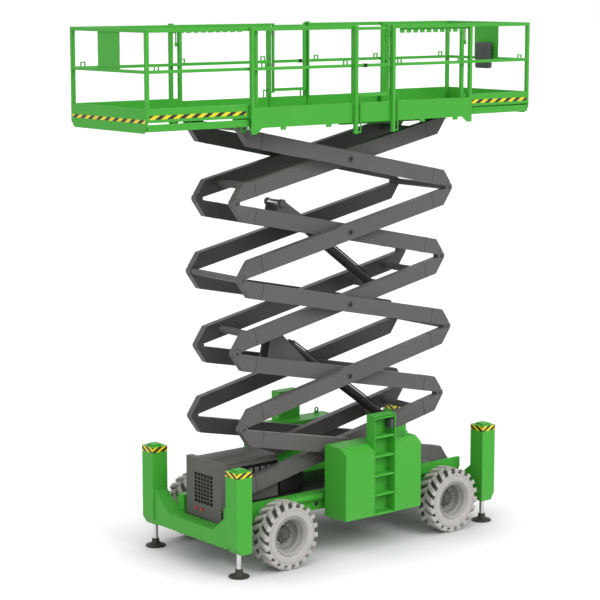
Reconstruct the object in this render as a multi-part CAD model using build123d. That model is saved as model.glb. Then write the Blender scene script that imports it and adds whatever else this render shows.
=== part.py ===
from build123d import *
import os
from math import asin, atan2, cos, degrees, hypot, pi, radians, sin, sqrt, tan

# Rough-terrain electric scissor lift, raised and standing on its wheels and outriggers.
# Millimetres. +X is the steered end, +Y the left side, +Z up, floor at Z = 0.

# Platform lengths, and the shift that centres the whole machine on X = 0
MAIN_HALF = 1800
REAR_REACH = 1470
FRONT_REACH = 1100
CHASSIS_X = (REAR_REACH - FRONT_REACH) / 2

# Clearances
PIN_PLAY = 0.05
FIT_PLAY = 0.3
RUN_GAP = 6
END_PLAY = 2
OVERCUT = 1

# Scissor stack
LEVELS = 5
PIN_INSET = 85
SPAN_SHORT = 79
PIN_SPAN = 2 * MAIN_HALF - SPAN_SHORT
HALF_SPAN = PIN_SPAN / 2
REST_ANGLE = 15.2
PIVOT_X = PIN_INSET - MAIN_HALF
PIVOT_Z = 803
ARM_HEIGHT = 200
ARM_WIDTH = 100
FOLD_GAP = 12
OUTER_Y = 512
INNER_Y = 380
ARM_CHAMFER = 140
KNUCKLE_R = 55
PIN_R = 25
CENTRE_PIN_R = 35
CENTRE_BOSS_R = 60
PIN_COVER = 8
PIN_COVER_R = 45
TONGUE_HALF = 18
FORK_HALF = 20
SHAFT_R = 40
CROSS_TUBE_R = 45
CROSS_TUBE_SHARE = 0.795
CROSS_TUBE_U = CROSS_TUBE_SHARE * HALF_SPAN

# Lift cylinders: base pin on a lower inner frame, eye between the lugs of the next one
LOWER_BASE_DROP = 52
UPPER_BASE_DROP = 67
LOWER_EYE_RISE = 420
UPPER_EYE_RISE = 220
LOWER_BASE_SHARE = 0.604
UPPER_BASE_SHARE = 0.486
LOWER_EYE_SHARE = 0.54
UPPER_EYE_SHARE = 0.4715
CYL_BASE = {1: (LOWER_BASE_SHARE * HALF_SPAN, -LOWER_BASE_DROP),
            3: (UPPER_BASE_SHARE * HALF_SPAN, -UPPER_BASE_DROP)}
CYL_EYE = {2: (LOWER_EYE_SHARE * HALF_SPAN, LOWER_EYE_RISE),
           4: (UPPER_EYE_SHARE * HALF_SPAN, UPPER_EYE_RISE)}
BARREL_R = 60
GLAND_R = 64
GLAND_LENGTH = 90
BORE_FLOOR = 40
BASE_EYE_R = 75
BASE_EYE_HALF = 60
ROD_R = 38
ROD_EYE_R = 42
ROD_EYE_PLAY = 8
ROD_SHOWING = 340
ROD_HIDDEN = 1250
LOWER_LUG_Y = 70
UPPER_LUG_Y = 110
LUG_Y = {2: LOWER_LUG_Y, 4: UPPER_LUG_Y}
LUG_THICK = 25
LUG_TIP_R = 48
LUG_STUB_END = 165
LUG_HEEL_U = 300
LUG_INSET = 0.8

# Wheels and axles
WHEEL_R = 420
TYRE_WIDTH = 300
TREAD_HALF = 128
CARCASS_R = 376
SHOULDER_R = 318
BEAD_R = 215
TYRE_SIDES = 24
LUGS_PER_SIDE = 16
LUG_BAR = 46
LUG_SKEW = 33
BASE_SHORT = 430
HALF_BASE = MAIN_HALF - BASE_SHORT
WHEEL_Y = 915
RIM_LIP_R = 240
RIM_WALL = 14
RIM_LIP_Y = 118
DISC_Y = -55
DISC_DISH = 40
DISC_ROUND = 30
HUB_R = 100
HUB_OUT = 12
HUB_IN = -110
SPINDLE_R = 40
SPINDLE_END = -40
AXLE_WIDTH = 170
AXLE_HEIGHT = 160
AXLE_REACH = 640
KINGPIN_Y = 690
KINGPIN_R = 22
KNUCKLE_HALF = 72
FORK_PLATE = 26
FORK_R = 52
FORK_THROAT = 36
FORK_ROOT = 60
STEER_ARM_BACK = 190
STEER_ARM_THICK = 24
STEER_ARM_ROOT = 26
TIE_R = 18
TIE_EYE_R = 28
TIE_EYE_HALF = 23
TIE_PIN_R = 12

# Outriggers
TYRE_TO_POST = 145
POST_Y = 881
POST_SIZE = 230
POST_X = HALF_BASE + WHEEL_R + TYRE_TO_POST + POST_SIZE / 2
POST_WALL = 10
POST_BOTTOM = 300
POST_TOP = 1325
POST_CHAMFER = 100
POST_CHAMFER_RUN = 60
GUIDE_THICK = 40
CAP_SIZE = 130
CAP_HEIGHT = 22
LEG_R = 32.5
LEG_TOP = 1000
FOOT_R = 128
FOOT_RIM = 18
FOOT_HEIGHT = 85
COLLAR_R = 50
COLLAR_TOP = 125
OUTRIGGER_BEAM_TOP = 520
OUTRIGGER_BEAM_BOTTOM = 330
GUSSET_TOP = 760
GUSSET_REACH = 300
OUTRIGGER_SETBACK = 25

# Side hoods and ladders
HOOD_TO_REAR_TYRE = 460
HOOD_TO_FRONT_TYRE = 170
HOOD_REAR = HOOD_TO_REAR_TYRE + WHEEL_R - HALF_BASE
HOOD_FRONT = HALF_BASE - WHEEL_R - HOOD_TO_FRONT_TYRE
HOOD_IN = 632
HOOD_OUT = 1050
HOOD_BOTTOM = 450
HOOD_SHOULDER = 1300
HOOD_TOP = 1372
HOOD_SLOPE = 110
LADDER_REAR = -16
LADDER_FRONT = 342
LADDER_BOTTOM = 440
LADDER_TOP = 1740
LADDER_DEPTH = 160
LADDER_WALL = 12
STEP_PITCH = 250
STEP_COUNT = 6
STEP_THICK = 28
STEP_INSET = 18
EYE_INSET_X = 140
EYE_INSET_Y = 150
EYE_X = HOOD_FRONT - EYE_INSET_X
EYE_Y = HOOD_OUT - EYE_INSET_Y
EYE_HALF = 34
EYE_THICK = 16
EYE_HOLE_R = 18
EYE_RISE = 46

# Chassis
BEAM_IN = 420
BEAM_OUT = 548
BEAM_BOTTOM = 520
BEAM_TOP = 741
BEAM_END = POST_X - POST_SIZE / 2
END_PLATE = 25
CROSS_TOP = 720
CROSS_BOTTOM = 560
TRACK_IN = 568
TRACK_OUT = 624
TRACK_WALL = 10
LEDGE_THICK = 25
TRACK_START = 40
TRACK_OVERRUN = 80
TRACK_END = MAIN_HALF + TRACK_OVERRUN
BLOCK_HALF_Z = 42
BLOCK_HALF_X = 45
SLIDE_PLAY = 0.5
BRACKET_THICK = 18
BRACKET_GAP = 7
BRACKET_FOOT = 85
CROSS_INSET = 720
CROSS_FRONT = 120
CROSS_X = (PIVOT_X, CROSS_INSET - HALF_BASE, HALF_BASE - CROSS_INSET, BEAM_END - CROSS_FRONT)
CROSS_HALF = 90
HOOD_BRACKET_HALF = 60
HOOD_BRACKET_INSET = 200
SIDE_PIPE_R = 38
SIDE_PIPE_Y = 580
SIDE_PIPE_Z = 699
SIDE_PIPE_INSET = 40
SIDE_PIPE_ENDS = (SIDE_PIPE_INSET - HALF_BASE, HOOD_REAR)

# Power pack at the rear
COWL_REAR_GAP = 215
COWL_FRONT_GAP = 127
COWL_REAR = PIVOT_X - COWL_REAR_GAP
COWL_FRONT = PIVOT_X - COWL_FRONT_GAP
COWL_HALF = 360
COWL_BOTTOM = 530
COWL_TOP = 1275
PACK_REACH = 745
PACK_FRONT = PIVOT_X + PACK_REACH
PACK_HALF = 285
PACK_TOP = 1230
PACK_WALL = 10
GRILLE_BARS = 9
GRILLE_HALF = 190
GRILLE_DEPTH = 25
GRILLE_BAR = 12
GRILLE_SET = 4
LAMP_R = 24
LAMP_THICK = 12
LAMP_Y = (20, 150)
LAMP_RISE = 110
LOUVRE_COUNT = 8
LOUVRE_HALF = 10
LOUVRE_LOW = 190
LOUVRE_HIGH = 70
BATTERY_GAP = 10
BATTERY_DROP = 200

# Platform
FLOOR_RISE = 123
FLOOR_THICK = 8
SIDE_HALF = 846
PANEL_THICK = 20
PANEL_BOTTOM = 13
PANEL_TOP = 257
RAIL = 44
MID_RAIL = 37
RAIL_TOP = 1202
MID_RAIL_TOP = 731
GATE_REAR = -201
GATE_FRONT = 413
GATE_POST_DROP = -121
GATE_R = 18
GATE_RAIL = 36
GATE_PIN_R = 8
GATE_FOOT = 330
LUG_PLATE = 20
GATE_PIN_LENGTH = 30
COMB_INSET = 30
COMB_REAR_END = -600
COMB_FRONT_END = 570
COMB_RANGE = {False: (COMB_INSET - MAIN_HALF, COMB_REAR_END), True: (COMB_FRONT_END, MAIN_HALF - COMB_INSET)}
COMB_Y = 810
COMB_THICK = 8
COMB_BACK = 22
TOOTH_PITCH = 114
TOOTH_WIDTH = 74
TOOTH_HEIGHT = 36
GRAB_R = 9
GRAB_OFFSET = 80
GRAB_TOP = 345
RING_INSET = 200
RING_TO_REAR_GATE = 129
RING_TO_FRONT_GATE = 147
RING_X = (RING_INSET - MAIN_HALF, GATE_REAR - RING_TO_REAR_GATE, GATE_FRONT + RING_TO_FRONT_GATE,
          MAIN_HALF - RING_INSET)
RING_R = 7
RING_WIDTH = 70
RING_HEIGHT = 55
REAR_TAB_INSET = 450
FRONT_TAB_INSET = 320
REAR_TAB_X = -640
FRONT_TAB_X = 900
TAB_X = (REAR_TAB_INSET - MAIN_HALF, REAR_TAB_X, FRONT_TAB_X, MAIN_HALF - FRONT_TAB_INSET)
TAB_WIDTH = 70
TAB_DROP = 34
ROLLER_R = 24
ROLLER_BRACKET = 160
ROLLER_DROP = 70
DECK_BEAM_IN = 437
DECK_BEAM_OUT = 585
DECK_BEAM_RISE = 62
DECK_BEAM_INSET = 20
UPPER_TRACK_WEB = 250
UPPER_TRACK_OPEN = 322
EXT_HALF = 790
EXT_SIDE = 45
EXT_END_PLATE = 20
EXT_FLOOR_GAP = 5
EXT_BOTTOM = 13
EXT_TOP = 295
EXT_END_CHAMFER = 70
EXT_BEAM_LOW = 20
EXT_BEAM_TOP = 83
EXT_OVERLAP = 140
PAD_IN = 620
PAD_OUT = 720
PAD_LENGTH = 110
EXT_RING_INSET = 160
EXT_MID_SETBACK = 4
SHEET_HALF = 228
SHEET_THICK = 4
BOX_WIDTH = 300
BOX_HEIGHT = 335
BOX_DEPTH = 120
BOX_DROP = 70

# Values worked out from the sizes above
PIN_EDGE = (ARM_HEIGHT + FOLD_GAP) / 2
FOLD_ANGLE = degrees(asin(2 * PIN_EDGE / PIN_SPAN))
TILT = REST_ANGLE - FOLD_ANGLE
PIN_U = HALF_SPAN * cos(radians(FOLD_ANGLE))
LEVEL_RISE = PIN_SPAN * sin(radians(REST_ANGLE))
CENTRE_X = PIVOT_X + HALF_SPAN * cos(radians(REST_ANGLE))
RIGHT_X = PIVOT_X + PIN_SPAN * cos(radians(REST_ANGLE))
DECK_PIN_Z = PIVOT_Z + LEVELS * LEVEL_RISE
FLOOR_Z = DECK_PIN_Z + FLOOR_RISE
REAR_END = -MAIN_HALF - REAR_REACH
FRONT_END = MAIN_HALF + FRONT_REACH
EXT_FLOOR_Z = FLOOR_Z + FLOOR_THICK + EXT_FLOOR_GAP
KNUCKLE_CUT_R = KNUCKLE_R + RUN_GAP
TYRE_SEAT_R = BEAD_R / cos(pi / TYRE_SIDES)


def box(x0, x1, y0, y1, z0, z1):
    """A box between two corners."""
    middle = Pos((x0 + x1) / 2, (y0 + y1) / 2, (z0 + z1) / 2)
    return middle * Box(x1 - x0, y1 - y0, z1 - z0)


def bar_y(x, z, radius, y0, y1):
    """A round bar along Y."""
    return Pos(x, (y0 + y1) / 2, z) * Rot(90, 0, 0) * Cylinder(radius, y1 - y0)


def bar_z(x, y, radius, z0, z1):
    """A round bar along Z."""
    return Pos(x, y, (z0 + z1) / 2) * Cylinder(radius, z1 - z0)


def prism_y(points, y0, y1):
    """An outline of (x, z) points, carried along Y."""
    face = Plane.XZ * make_face(Polyline(*points, close=True))
    return Pos(0, y1, 0) * extrude(face, y1 - y0)


def prism_x(points, x0, x1):
    """An outline of (y, z) points, carried along X."""
    face = Plane.YZ * make_face(Polyline(*points, close=True))
    return Pos(x0, 0, 0) * extrude(face, x1 - x0)


def other_side(shape):
    """The same piece on the other side of the machine."""
    return mirror(shape, Plane.XZ)


def pair(shape):
    """A piece and its twin on the other side."""
    return [shape, other_side(shape)]


# Scissor stack

def arm_outline():
    """Side view of one arm: a tube with slanted ends and a round nose at each end pin."""
    corner = (PIN_U - ARM_CHAMFER, -ARM_HEIGHT / 2)
    run = (PIN_U - corner[0], PIN_EDGE - corner[1])
    reach = hypot(*run)
    slant = atan2(run[1], run[0]) - asin(KNUCKLE_R / reach)
    length = sqrt(reach ** 2 - KNUCKLE_R ** 2)
    touch = (corner[0] + length * cos(slant), corner[1] + length * sin(slant))
    upper_end = [corner, touch, (PIN_U, PIN_EDGE), (PIN_U - KNUCKLE_R / 2, ARM_HEIGHT / 2)]
    lower_end = [(-u, -v) for u, v in upper_end]
    outline = make_face(Polyline(*upper_end, *lower_end, close=True))
    noses = [Pos(s * PIN_U, s * PIN_EDGE) * Circle(KNUCKLE_R) for s in (1, -1)]
    return Plane.XZ * (outline + noses)


def arm(centre_y, fork=True, tongue=True):
    """One arm, lying along X, with a fork at its upper end and a tongue at its lower end."""
    half = ARM_WIDTH / 2
    body = Pos(0, centre_y, 0) * extrude(arm_outline(), half, both=True)
    if fork:
        slot = bar_y(PIN_U, PIN_EDGE, KNUCKLE_CUT_R, centre_y - FORK_HALF, centre_y + FORK_HALF)
        body = body - slot
        body = body + bar_y(PIN_U, PIN_EDGE, PIN_R, centre_y - half, centre_y + half)
    if tongue:
        for inner, outer in ((-half - OVERCUT, -TONGUE_HALF), (TONGUE_HALF, half + OVERCUT)):
            body = body - bar_y(-PIN_U, -PIN_EDGE, KNUCKLE_CUT_R, centre_y + inner, centre_y + outer)
        body = body - bar_y(-PIN_U, -PIN_EDGE, PIN_R + PIN_PLAY, centre_y - half, centre_y + half)
    return body


def outer_frame(level):
    """Two outer arms joined by a shaft at an end pin, with their centre pins."""
    half = ARM_WIDTH / 2
    inside = OUTER_Y - half
    first = level == 1
    last = level == LEVELS
    side = arm(OUTER_Y, fork=not last, tongue=not first)
    boss_end = INNER_Y + half + FIT_PLAY
    side = side + bar_y(0, 0, CENTRE_BOSS_R, boss_end, inside)
    side = side + bar_y(0, 0, CENTRE_PIN_R, INNER_Y - half - FIT_PLAY, inside)
    side = side + bar_y(0, 0, PIN_COVER_R, OUTER_Y + half, OUTER_Y + half + PIN_COVER)
    if first:
        side = side + bar_y(-PIN_U, -PIN_EDGE, PIN_R, OUTER_Y, TRACK_OUT - TRACK_WALL - FIT_PLAY)
        shaft = bar_y(-PIN_U, -PIN_EDGE, SHAFT_R, -inside, inside)
    elif last:
        plate_end = inside - BRACKET_GAP - BRACKET_THICK - RUN_GAP
        outer_end = OUTER_Y + half + BRACKET_GAP + BRACKET_THICK
        side = side + bar_y(PIN_U, PIN_EDGE, PIN_R, 0, outer_end)
        shaft = bar_y(PIN_U, PIN_EDGE, SHAFT_R, -plate_end, plate_end)
    else:
        shaft = bar_y(PIN_U, PIN_EDGE, SHAFT_R, -inside, inside)
    return side + other_side(side) + shaft


def eye_lugs(level):
    """Wedge plates that hold the cylinder's eye, on stub tubes from the inner arms."""
    u, v = CYL_EYE[level]
    inside = INNER_Y - ARM_WIDTH / 2
    y = LUG_Y[level]
    edge = LUG_INSET * CROSS_TUBE_R
    tip = LUG_INSET * LUG_TIP_R
    outline = [(u + tip, v), (u + tip, -edge), (LUG_HEEL_U - edge, -edge)]
    outline += [(LUG_HEEL_U - edge, edge), (u - tip / 2, v + tip), (u, v)]
    plate = prism_y(outline, y, y + LUG_THICK)
    plate = plate + bar_y(u, v, LUG_TIP_R, y, LUG_STUB_END)
    stubs = [bar_y(s, 0, CROSS_TUBE_R, y, inside) for s in (u, LUG_HEEL_U)]
    return plate + stubs


def inner_frame(level):
    """Two inner arms joined by cross tubes, with the cylinder's seat on that level."""
    half = ARM_WIDTH / 2
    inside = INNER_Y - half
    first = level == 1
    last = level == LEVELS
    side = arm(INNER_Y, fork=not last, tongue=not first)
    side = side - bar_y(0, 0, CENTRE_PIN_R + PIN_PLAY, inside - OVERCUT, INNER_Y + half + OVERCUT)
    if first:
        reach = half + BRACKET_GAP + BRACKET_THICK
        side = side + bar_y(-PIN_U, -PIN_EDGE, PIN_R, INNER_Y - reach, INNER_Y + reach)
    if last:
        side = side + bar_y(PIN_U, PIN_EDGE, PIN_R, UPPER_TRACK_WEB + TRACK_WALL + FIT_PLAY, INNER_Y)
    if level in CYL_EYE:
        side = side + eye_lugs(level)
    tubes = [bar_y(CROSS_TUBE_U, 0, CROSS_TUBE_R, -inside, inside)] if level not in CYL_EYE else []
    if level >= 2:
        tubes.append(bar_y(-CROSS_TUBE_U, 0, CROSS_TUBE_R, -inside, inside))
    if level in CYL_BASE:
        u, v = CYL_BASE[level]
        tubes.append(bar_y(u, v, CROSS_TUBE_R, -inside, inside))
    return side + other_side(side) + tubes


def rises_right(kind, level):
    """Inner arms rise to the right on odd levels, outer arms on even levels."""
    return (level % 2 == 1) == (kind == "inner")


def level_centre(level):
    """Where the arms of a level cross."""
    return CENTRE_X, PIVOT_Z + (level - 0.5) * LEVEL_RISE


def stand(frame, kind, level):
    """Tilt a frame to the rest angle and put it on its level."""
    tilted = Rot(0, -TILT, 0) * frame
    if not rises_right(kind, level):
        tilted = mirror(tilted, Plane.YZ)
    x, z = level_centre(level)
    return Pos(x, 0, z) * tilted


def frame_point(kind, level, u, v):
    """Place of a point of a frame, given along and across its arms."""
    x, z = level_centre(level)
    along = u * cos(radians(TILT)) - v * sin(radians(TILT))
    up = u * sin(radians(TILT)) + v * cos(radians(TILT))
    return (x + along if rises_right(kind, level) else x - along), z + up


def cylinder_line(base_level):
    """Base pin, eye, length and slope of the cylinder that stands on a level."""
    base = frame_point("inner", base_level, *CYL_BASE[base_level])
    eye = frame_point("inner", base_level + 1, *CYL_EYE[base_level + 1])
    length = hypot(eye[0] - base[0], eye[1] - base[1])
    slope = degrees(atan2(eye[1] - base[1], base[0] - eye[0]))
    return base, eye, length, slope


def lay_cylinder(shape, base_level):
    """Turn a cylinder piece from along -X to its slope, with its base pin in place."""
    base, _, _, slope = cylinder_line(base_level)
    return Pos(base[0], 0, base[1]) * Rot(0, slope, 0) * shape


def along_x(radius, x0, x1):
    """A round bar along X."""
    return Pos((x0 + x1) / 2, 0, 0) * Rot(0, 90, 0) * Cylinder(radius, abs(x1 - x0))


def cylinder_barrel(base_level):
    """Barrel with its base eye round the cross tube, a gland ring and a blind bore."""
    length = cylinder_line(base_level)[2]
    mouth = length - ROD_SHOWING
    body = bar_y(0, 0, BASE_EYE_R, -BASE_EYE_HALF, BASE_EYE_HALF)
    body = body + along_x(BARREL_R, -mouth, 0)
    body = body + along_x(GLAND_R, -mouth, -mouth + GLAND_LENGTH)
    body = body - bar_y(0, 0, CROSS_TUBE_R + PIN_PLAY, -BASE_EYE_HALF - OVERCUT, BASE_EYE_HALF + OVERCUT)
    body = body - along_x(ROD_R + PIN_PLAY, -mouth - OVERCUT, -BASE_EYE_R - BORE_FLOOR)
    return lay_cylinder(body, base_level)


def cylinder_rod(base_level):
    """Rod with its cross eye and the stubs of its pin, which lie between the lugs."""
    length = cylinder_line(base_level)[2]
    body = along_x(ROD_R, -length, -length + ROD_SHOWING + ROD_HIDDEN)
    half = LUG_Y[base_level + 1] - ROD_EYE_PLAY
    body = body + bar_y(-length, 0, ROD_EYE_R, -half, half)
    return lay_cylinder(body, base_level)


def lower_slide_blocks():
    """Blocks that run in the chassis tracks on the lowest outer arms' pins."""
    top = BLOCK_HALF_Z
    block = box(-BLOCK_HALF_X, BLOCK_HALF_X, TRACK_IN, TRACK_OUT - TRACK_WALL - SLIDE_PLAY, -top, top)
    block = block - bar_y(0, 0, PIN_R + PIN_PLAY, TRACK_IN - OVERCUT, TRACK_OUT)
    return Pos(RIGHT_X, 0, PIVOT_Z) * Compound(children=pair(block))


def upper_slide_blocks():
    """Blocks that run in the platform's tracks on the highest inner arms' pins."""
    top = BLOCK_HALF_Z
    inside = UPPER_TRACK_WEB + TRACK_WALL + SLIDE_PLAY
    block = box(-BLOCK_HALF_X, BLOCK_HALF_X, inside, UPPER_TRACK_OPEN, -top, top)
    block = block - bar_y(0, 0, PIN_R + PIN_PLAY, inside - OVERCUT, UPPER_TRACK_OPEN + OVERCUT)
    return Pos(RIGHT_X, 0, DECK_PIN_Z) * Compound(children=pair(block))


# Wheels, axles and steering

def ring_face(radius, y):
    """Many-sided outline about Y, at a place along Y."""
    return Pos(0, y, 0) * (Plane.XZ * RegularPolygon(radius, TYRE_SIDES))


def tyre():
    """Many-sided carcass about Y with slanted flat-topped bars on each half of the tread."""
    half = TYRE_WIDTH / 2
    lip = RIM_LIP_R + RIM_WALL
    skin = [(SHOULDER_R, -half), (CARCASS_R, -TREAD_HALF), (CARCASS_R, TREAD_HALF), (SHOULDER_R, half)]
    seat = [(lip, -half), (TYRE_SEAT_R, -TREAD_HALF), (TYRE_SEAT_R, TREAD_HALF), (lip, half)]
    carcass = loft([ring_face(r, y) for r, y in skin], ruled=True)
    carcass = carcass - loft([ring_face(r, y) for r, y in seat], ruled=True)
    slope = radians(LUG_SKEW)
    width = LUG_BAR / cos(slope)
    shift = half * tan(slope)
    top = sqrt(WHEEL_R ** 2 - ((width + shift) / 2) ** 2)
    turn = 360 / LUGS_PER_SIDE
    bars = []
    for side in (1, -1):
        plan = [(shift / 2 - width / 2, 0), (shift / 2 + width / 2, 0)]
        plan += [(width / 2 - shift / 2, side * half), (-width / 2 - shift / 2, side * half)]
        block = extrude(make_face(Polyline(*plan, close=True)), top - SHOULDER_R, dir=(0, 0, 1))
        bar = Pos(0, 0, SHOULDER_R) * block
        start = 0 if side > 0 else turn / 2
        bars += [Rot(0, start + i * turn, 0) * bar for i in range(LUGS_PER_SIDE)]
    return carcass + bars


def rim():
    """Dished rim of revolution about Y (outer side +Y) with its hub and spindle bore."""
    lip = RIM_LIP_R - FIT_PLAY
    seat = BEAD_R - FIT_PLAY
    deep = seat - RIM_WALL
    face = DISC_Y + RIM_WALL
    section = [(0, HUB_OUT), (HUB_R, HUB_OUT), (HUB_R, face), (deep - DISC_DISH, face)]
    section += [(deep, RIM_LIP_Y), (seat, RIM_LIP_Y), (seat, -RIM_LIP_Y), (deep, -RIM_LIP_Y)]
    section += [(deep, DISC_Y - DISC_ROUND), (deep - DISC_ROUND, DISC_Y), (HUB_R, DISC_Y)]
    section += [(HUB_R, HUB_IN), (0, HUB_IN)]
    body = revolve(make_face(Polyline(*section, close=True)), Axis.Y)
    return body - bar_y(0, 0, SPINDLE_R + PIN_PLAY, HUB_IN - OVERCUT, SPINDLE_END + RUN_GAP)


def at_wheel(shape, x_sign, y_sign):
    """Put a wheel piece on its spindle, outer side outwards."""
    turned = shape if y_sign > 0 else mirror(shape, Plane.XZ)
    return Pos(x_sign * HALF_BASE, y_sign * WHEEL_Y, WHEEL_R) * turned


def rear_axle():
    """Box beam with a spindle at each end, on two saddles under the chassis beams."""
    half = AXLE_WIDTH / 2
    low = WHEEL_R - AXLE_HEIGHT / 2
    body = box(-half, half, -AXLE_REACH, AXLE_REACH, low, low + AXLE_HEIGHT)
    ends = pair(bar_y(0, WHEEL_R, SPINDLE_R, AXLE_REACH, WHEEL_Y + SPINDLE_END))
    flanges = pair(bar_y(0, WHEEL_R, HUB_R, AXLE_REACH, WHEEL_Y + HUB_IN - RUN_GAP))
    saddles = pair(box(-half, half, BEAM_IN, BEAM_OUT, low + AXLE_HEIGHT, BEAM_BOTTOM))
    return Pos(-HALF_BASE, 0, 0) * (body + ends + flanges + saddles)


def front_axle():
    """Box beam with a fork and kingpin at each end."""
    half = AXLE_WIDTH / 2
    low = WHEEL_R - AXLE_HEIGHT / 2
    web_end = KINGPIN_Y - FORK_R - FORK_THROAT
    body = box(-half, half, -web_end, web_end, low, low + AXLE_HEIGHT)
    saddles = pair(box(-half, half, BEAM_IN, BEAM_OUT, low + AXLE_HEIGHT, BEAM_BOTTOM))
    body = body + saddles
    inner = KNUCKLE_HALF + FIT_PLAY
    for low_z, high_z in ((-inner - FORK_PLATE, -inner), (inner, inner + FORK_PLATE)):
        plate = box(-FORK_R, FORK_R, web_end - FORK_ROOT, KINGPIN_Y, WHEEL_R + low_z, WHEEL_R + high_z)
        plate = plate + bar_z(0, KINGPIN_Y, FORK_R, WHEEL_R + low_z, WHEEL_R + high_z)
        body = body + pair(plate)
    reach = inner + FORK_PLATE
    body = body + pair(bar_z(0, KINGPIN_Y, KINGPIN_R, WHEEL_R - reach, WHEEL_R + reach))
    return Pos(HALF_BASE, 0, 0) * body


def steer_arm_end():
    """Where the tie rod meets the left steering arm, from the axle's middle."""
    return -STEER_ARM_BACK, KINGPIN_Y


def knuckle():
    """Left knuckle: sleeve on the kingpin, spindle, and steering arm with its pin."""
    sleeve = bar_z(0, KINGPIN_Y, FORK_R, WHEEL_R - KNUCKLE_HALF, WHEEL_R + KNUCKLE_HALF)
    body = sleeve + bar_y(0, WHEEL_R, SPINDLE_R, KINGPIN_Y, WHEEL_Y + SPINDLE_END)
    x, y = steer_arm_end()
    half = STEER_ARM_THICK / 2
    plan = [(0, KINGPIN_Y - STEER_ARM_ROOT), (0, KINGPIN_Y + STEER_ARM_ROOT)]
    plan += [(x, y + TIE_EYE_R), (x, y - TIE_EYE_R)]
    lever = Pos(0, 0, WHEEL_R - half) * extrude(make_face(Polyline(*plan, close=True)), 2 * half)
    body = body + lever + bar_z(x, y, TIE_EYE_R, WHEEL_R - half, WHEEL_R + half)
    body = body + bar_z(x, y, TIE_PIN_R, WHEEL_R - half - 2 * TIE_EYE_HALF - FIT_PLAY, WHEEL_R)
    reach = KNUCKLE_HALF + OVERCUT
    body = body - bar_z(0, KINGPIN_Y, KINGPIN_R + PIN_PLAY, WHEEL_R - reach, WHEEL_R + reach)
    return Pos(HALF_BASE, 0, 0) * body


def tie_rod():
    """Straight rod between the two steering arms, with an eye on each arm's pin."""
    x, y = steer_arm_end()
    top = WHEEL_R - STEER_ARM_THICK / 2 - FIT_PLAY
    low = top - 2 * TIE_EYE_HALF
    body = bar_y(x, top - TIE_EYE_HALF, TIE_R, -y, y) + pair(bar_z(x, y, TIE_EYE_R, low, top))
    holes = pair(bar_z(x, y, TIE_PIN_R + PIN_PLAY, low - OVERCUT, top + OVERCUT))
    return Pos(HALF_BASE, 0, 0) * (body - holes)


# Chassis

def track(web_y, open_y, start, end, height):
    """C-channel along X, its web at one side and its mouth at the other."""
    low, high = min(web_y, open_y), max(web_y, open_y)
    half = BLOCK_HALF_Z + SLIDE_PLAY
    outside = half + TRACK_WALL
    body = box(start, end, low, high, height - outside, height + outside)
    sign = 1 if open_y > web_y else -1
    mouth = (web_y + sign * TRACK_WALL, open_y + sign)
    return body - box(start - OVERCUT, end + OVERCUT, min(mouth), max(mouth), height - half, height + half)


def chassis_frame():
    """Two box beams with cross members, pivot brackets, hood brackets and side pipes."""
    beam = box(-BEAM_END, BEAM_END, BEAM_IN, BEAM_OUT, BEAM_BOTTOM, BEAM_TOP)
    low = OUTRIGGER_BEAM_BOTTOM + END_PLATE
    for x in (-BEAM_END, BEAM_END - END_PLATE):
        beam = beam + box(x, x + END_PLATE, BEAM_IN, BEAM_OUT, low, BEAM_BOTTOM)
    body = beam + other_side(beam)
    for x in CROSS_X:
        body = body + box(x - CROSS_HALF, x + CROSS_HALF, -BEAM_IN, BEAM_IN, CROSS_BOTTOM, CROSS_TOP)
    half = ARM_WIDTH / 2 + BRACKET_GAP
    for y in (INNER_Y - half - BRACKET_THICK, INNER_Y + half):
        outline = [(PIVOT_X - BRACKET_FOOT, CROSS_TOP), (PIVOT_X + BRACKET_FOOT, CROSS_TOP)]
        outline += [(PIVOT_X + KNUCKLE_R, PIVOT_Z + PIN_R), (PIVOT_X - KNUCKLE_R, PIVOT_Z + PIN_R)]
        plate = prism_y(outline, y, y + BRACKET_THICK)
        plate = plate + bar_y(PIVOT_X, PIVOT_Z, KNUCKLE_R, y, y + BRACKET_THICK)
        far = y + BRACKET_THICK + OVERCUT
        body = body + pair(plate - bar_y(PIVOT_X, PIVOT_Z, PIN_R + PIN_PLAY, y - OVERCUT, far))
    for x in (HOOD_REAR + HOOD_BRACKET_INSET, HOOD_FRONT - HOOD_BRACKET_INSET):
        low_x, high_x = x - HOOD_BRACKET_HALF, x + HOOD_BRACKET_HALF
        top = CROSS_TOP - HOOD_BRACKET_HALF
        body = body + pair(box(low_x, high_x, BEAM_OUT, HOOD_IN, CROSS_BOTTOM, top))
    pipe = Pos(0, SIDE_PIPE_Y, SIDE_PIPE_Z) * along_x(SIDE_PIPE_R, *SIDE_PIPE_ENDS)
    body = body + pair(pipe)
    return body


def slide_tracks():
    """C-channels on ledges along the chassis beams, for the lowest outer arms' blocks."""
    channel = track(TRACK_OUT, TRACK_IN, TRACK_START, TRACK_END, PIVOT_Z)
    floor = PIVOT_Z - BLOCK_HALF_Z - SLIDE_PLAY - TRACK_WALL
    ledge = box(TRACK_START, TRACK_END, BEAM_OUT, TRACK_OUT, BEAM_TOP - LEDGE_THICK, BEAM_TOP)
    ledge = ledge + box(TRACK_START, TRACK_END, TRACK_IN, TRACK_OUT, BEAM_TOP, floor)
    return Compound(children=pair(channel + ledge))


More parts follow.
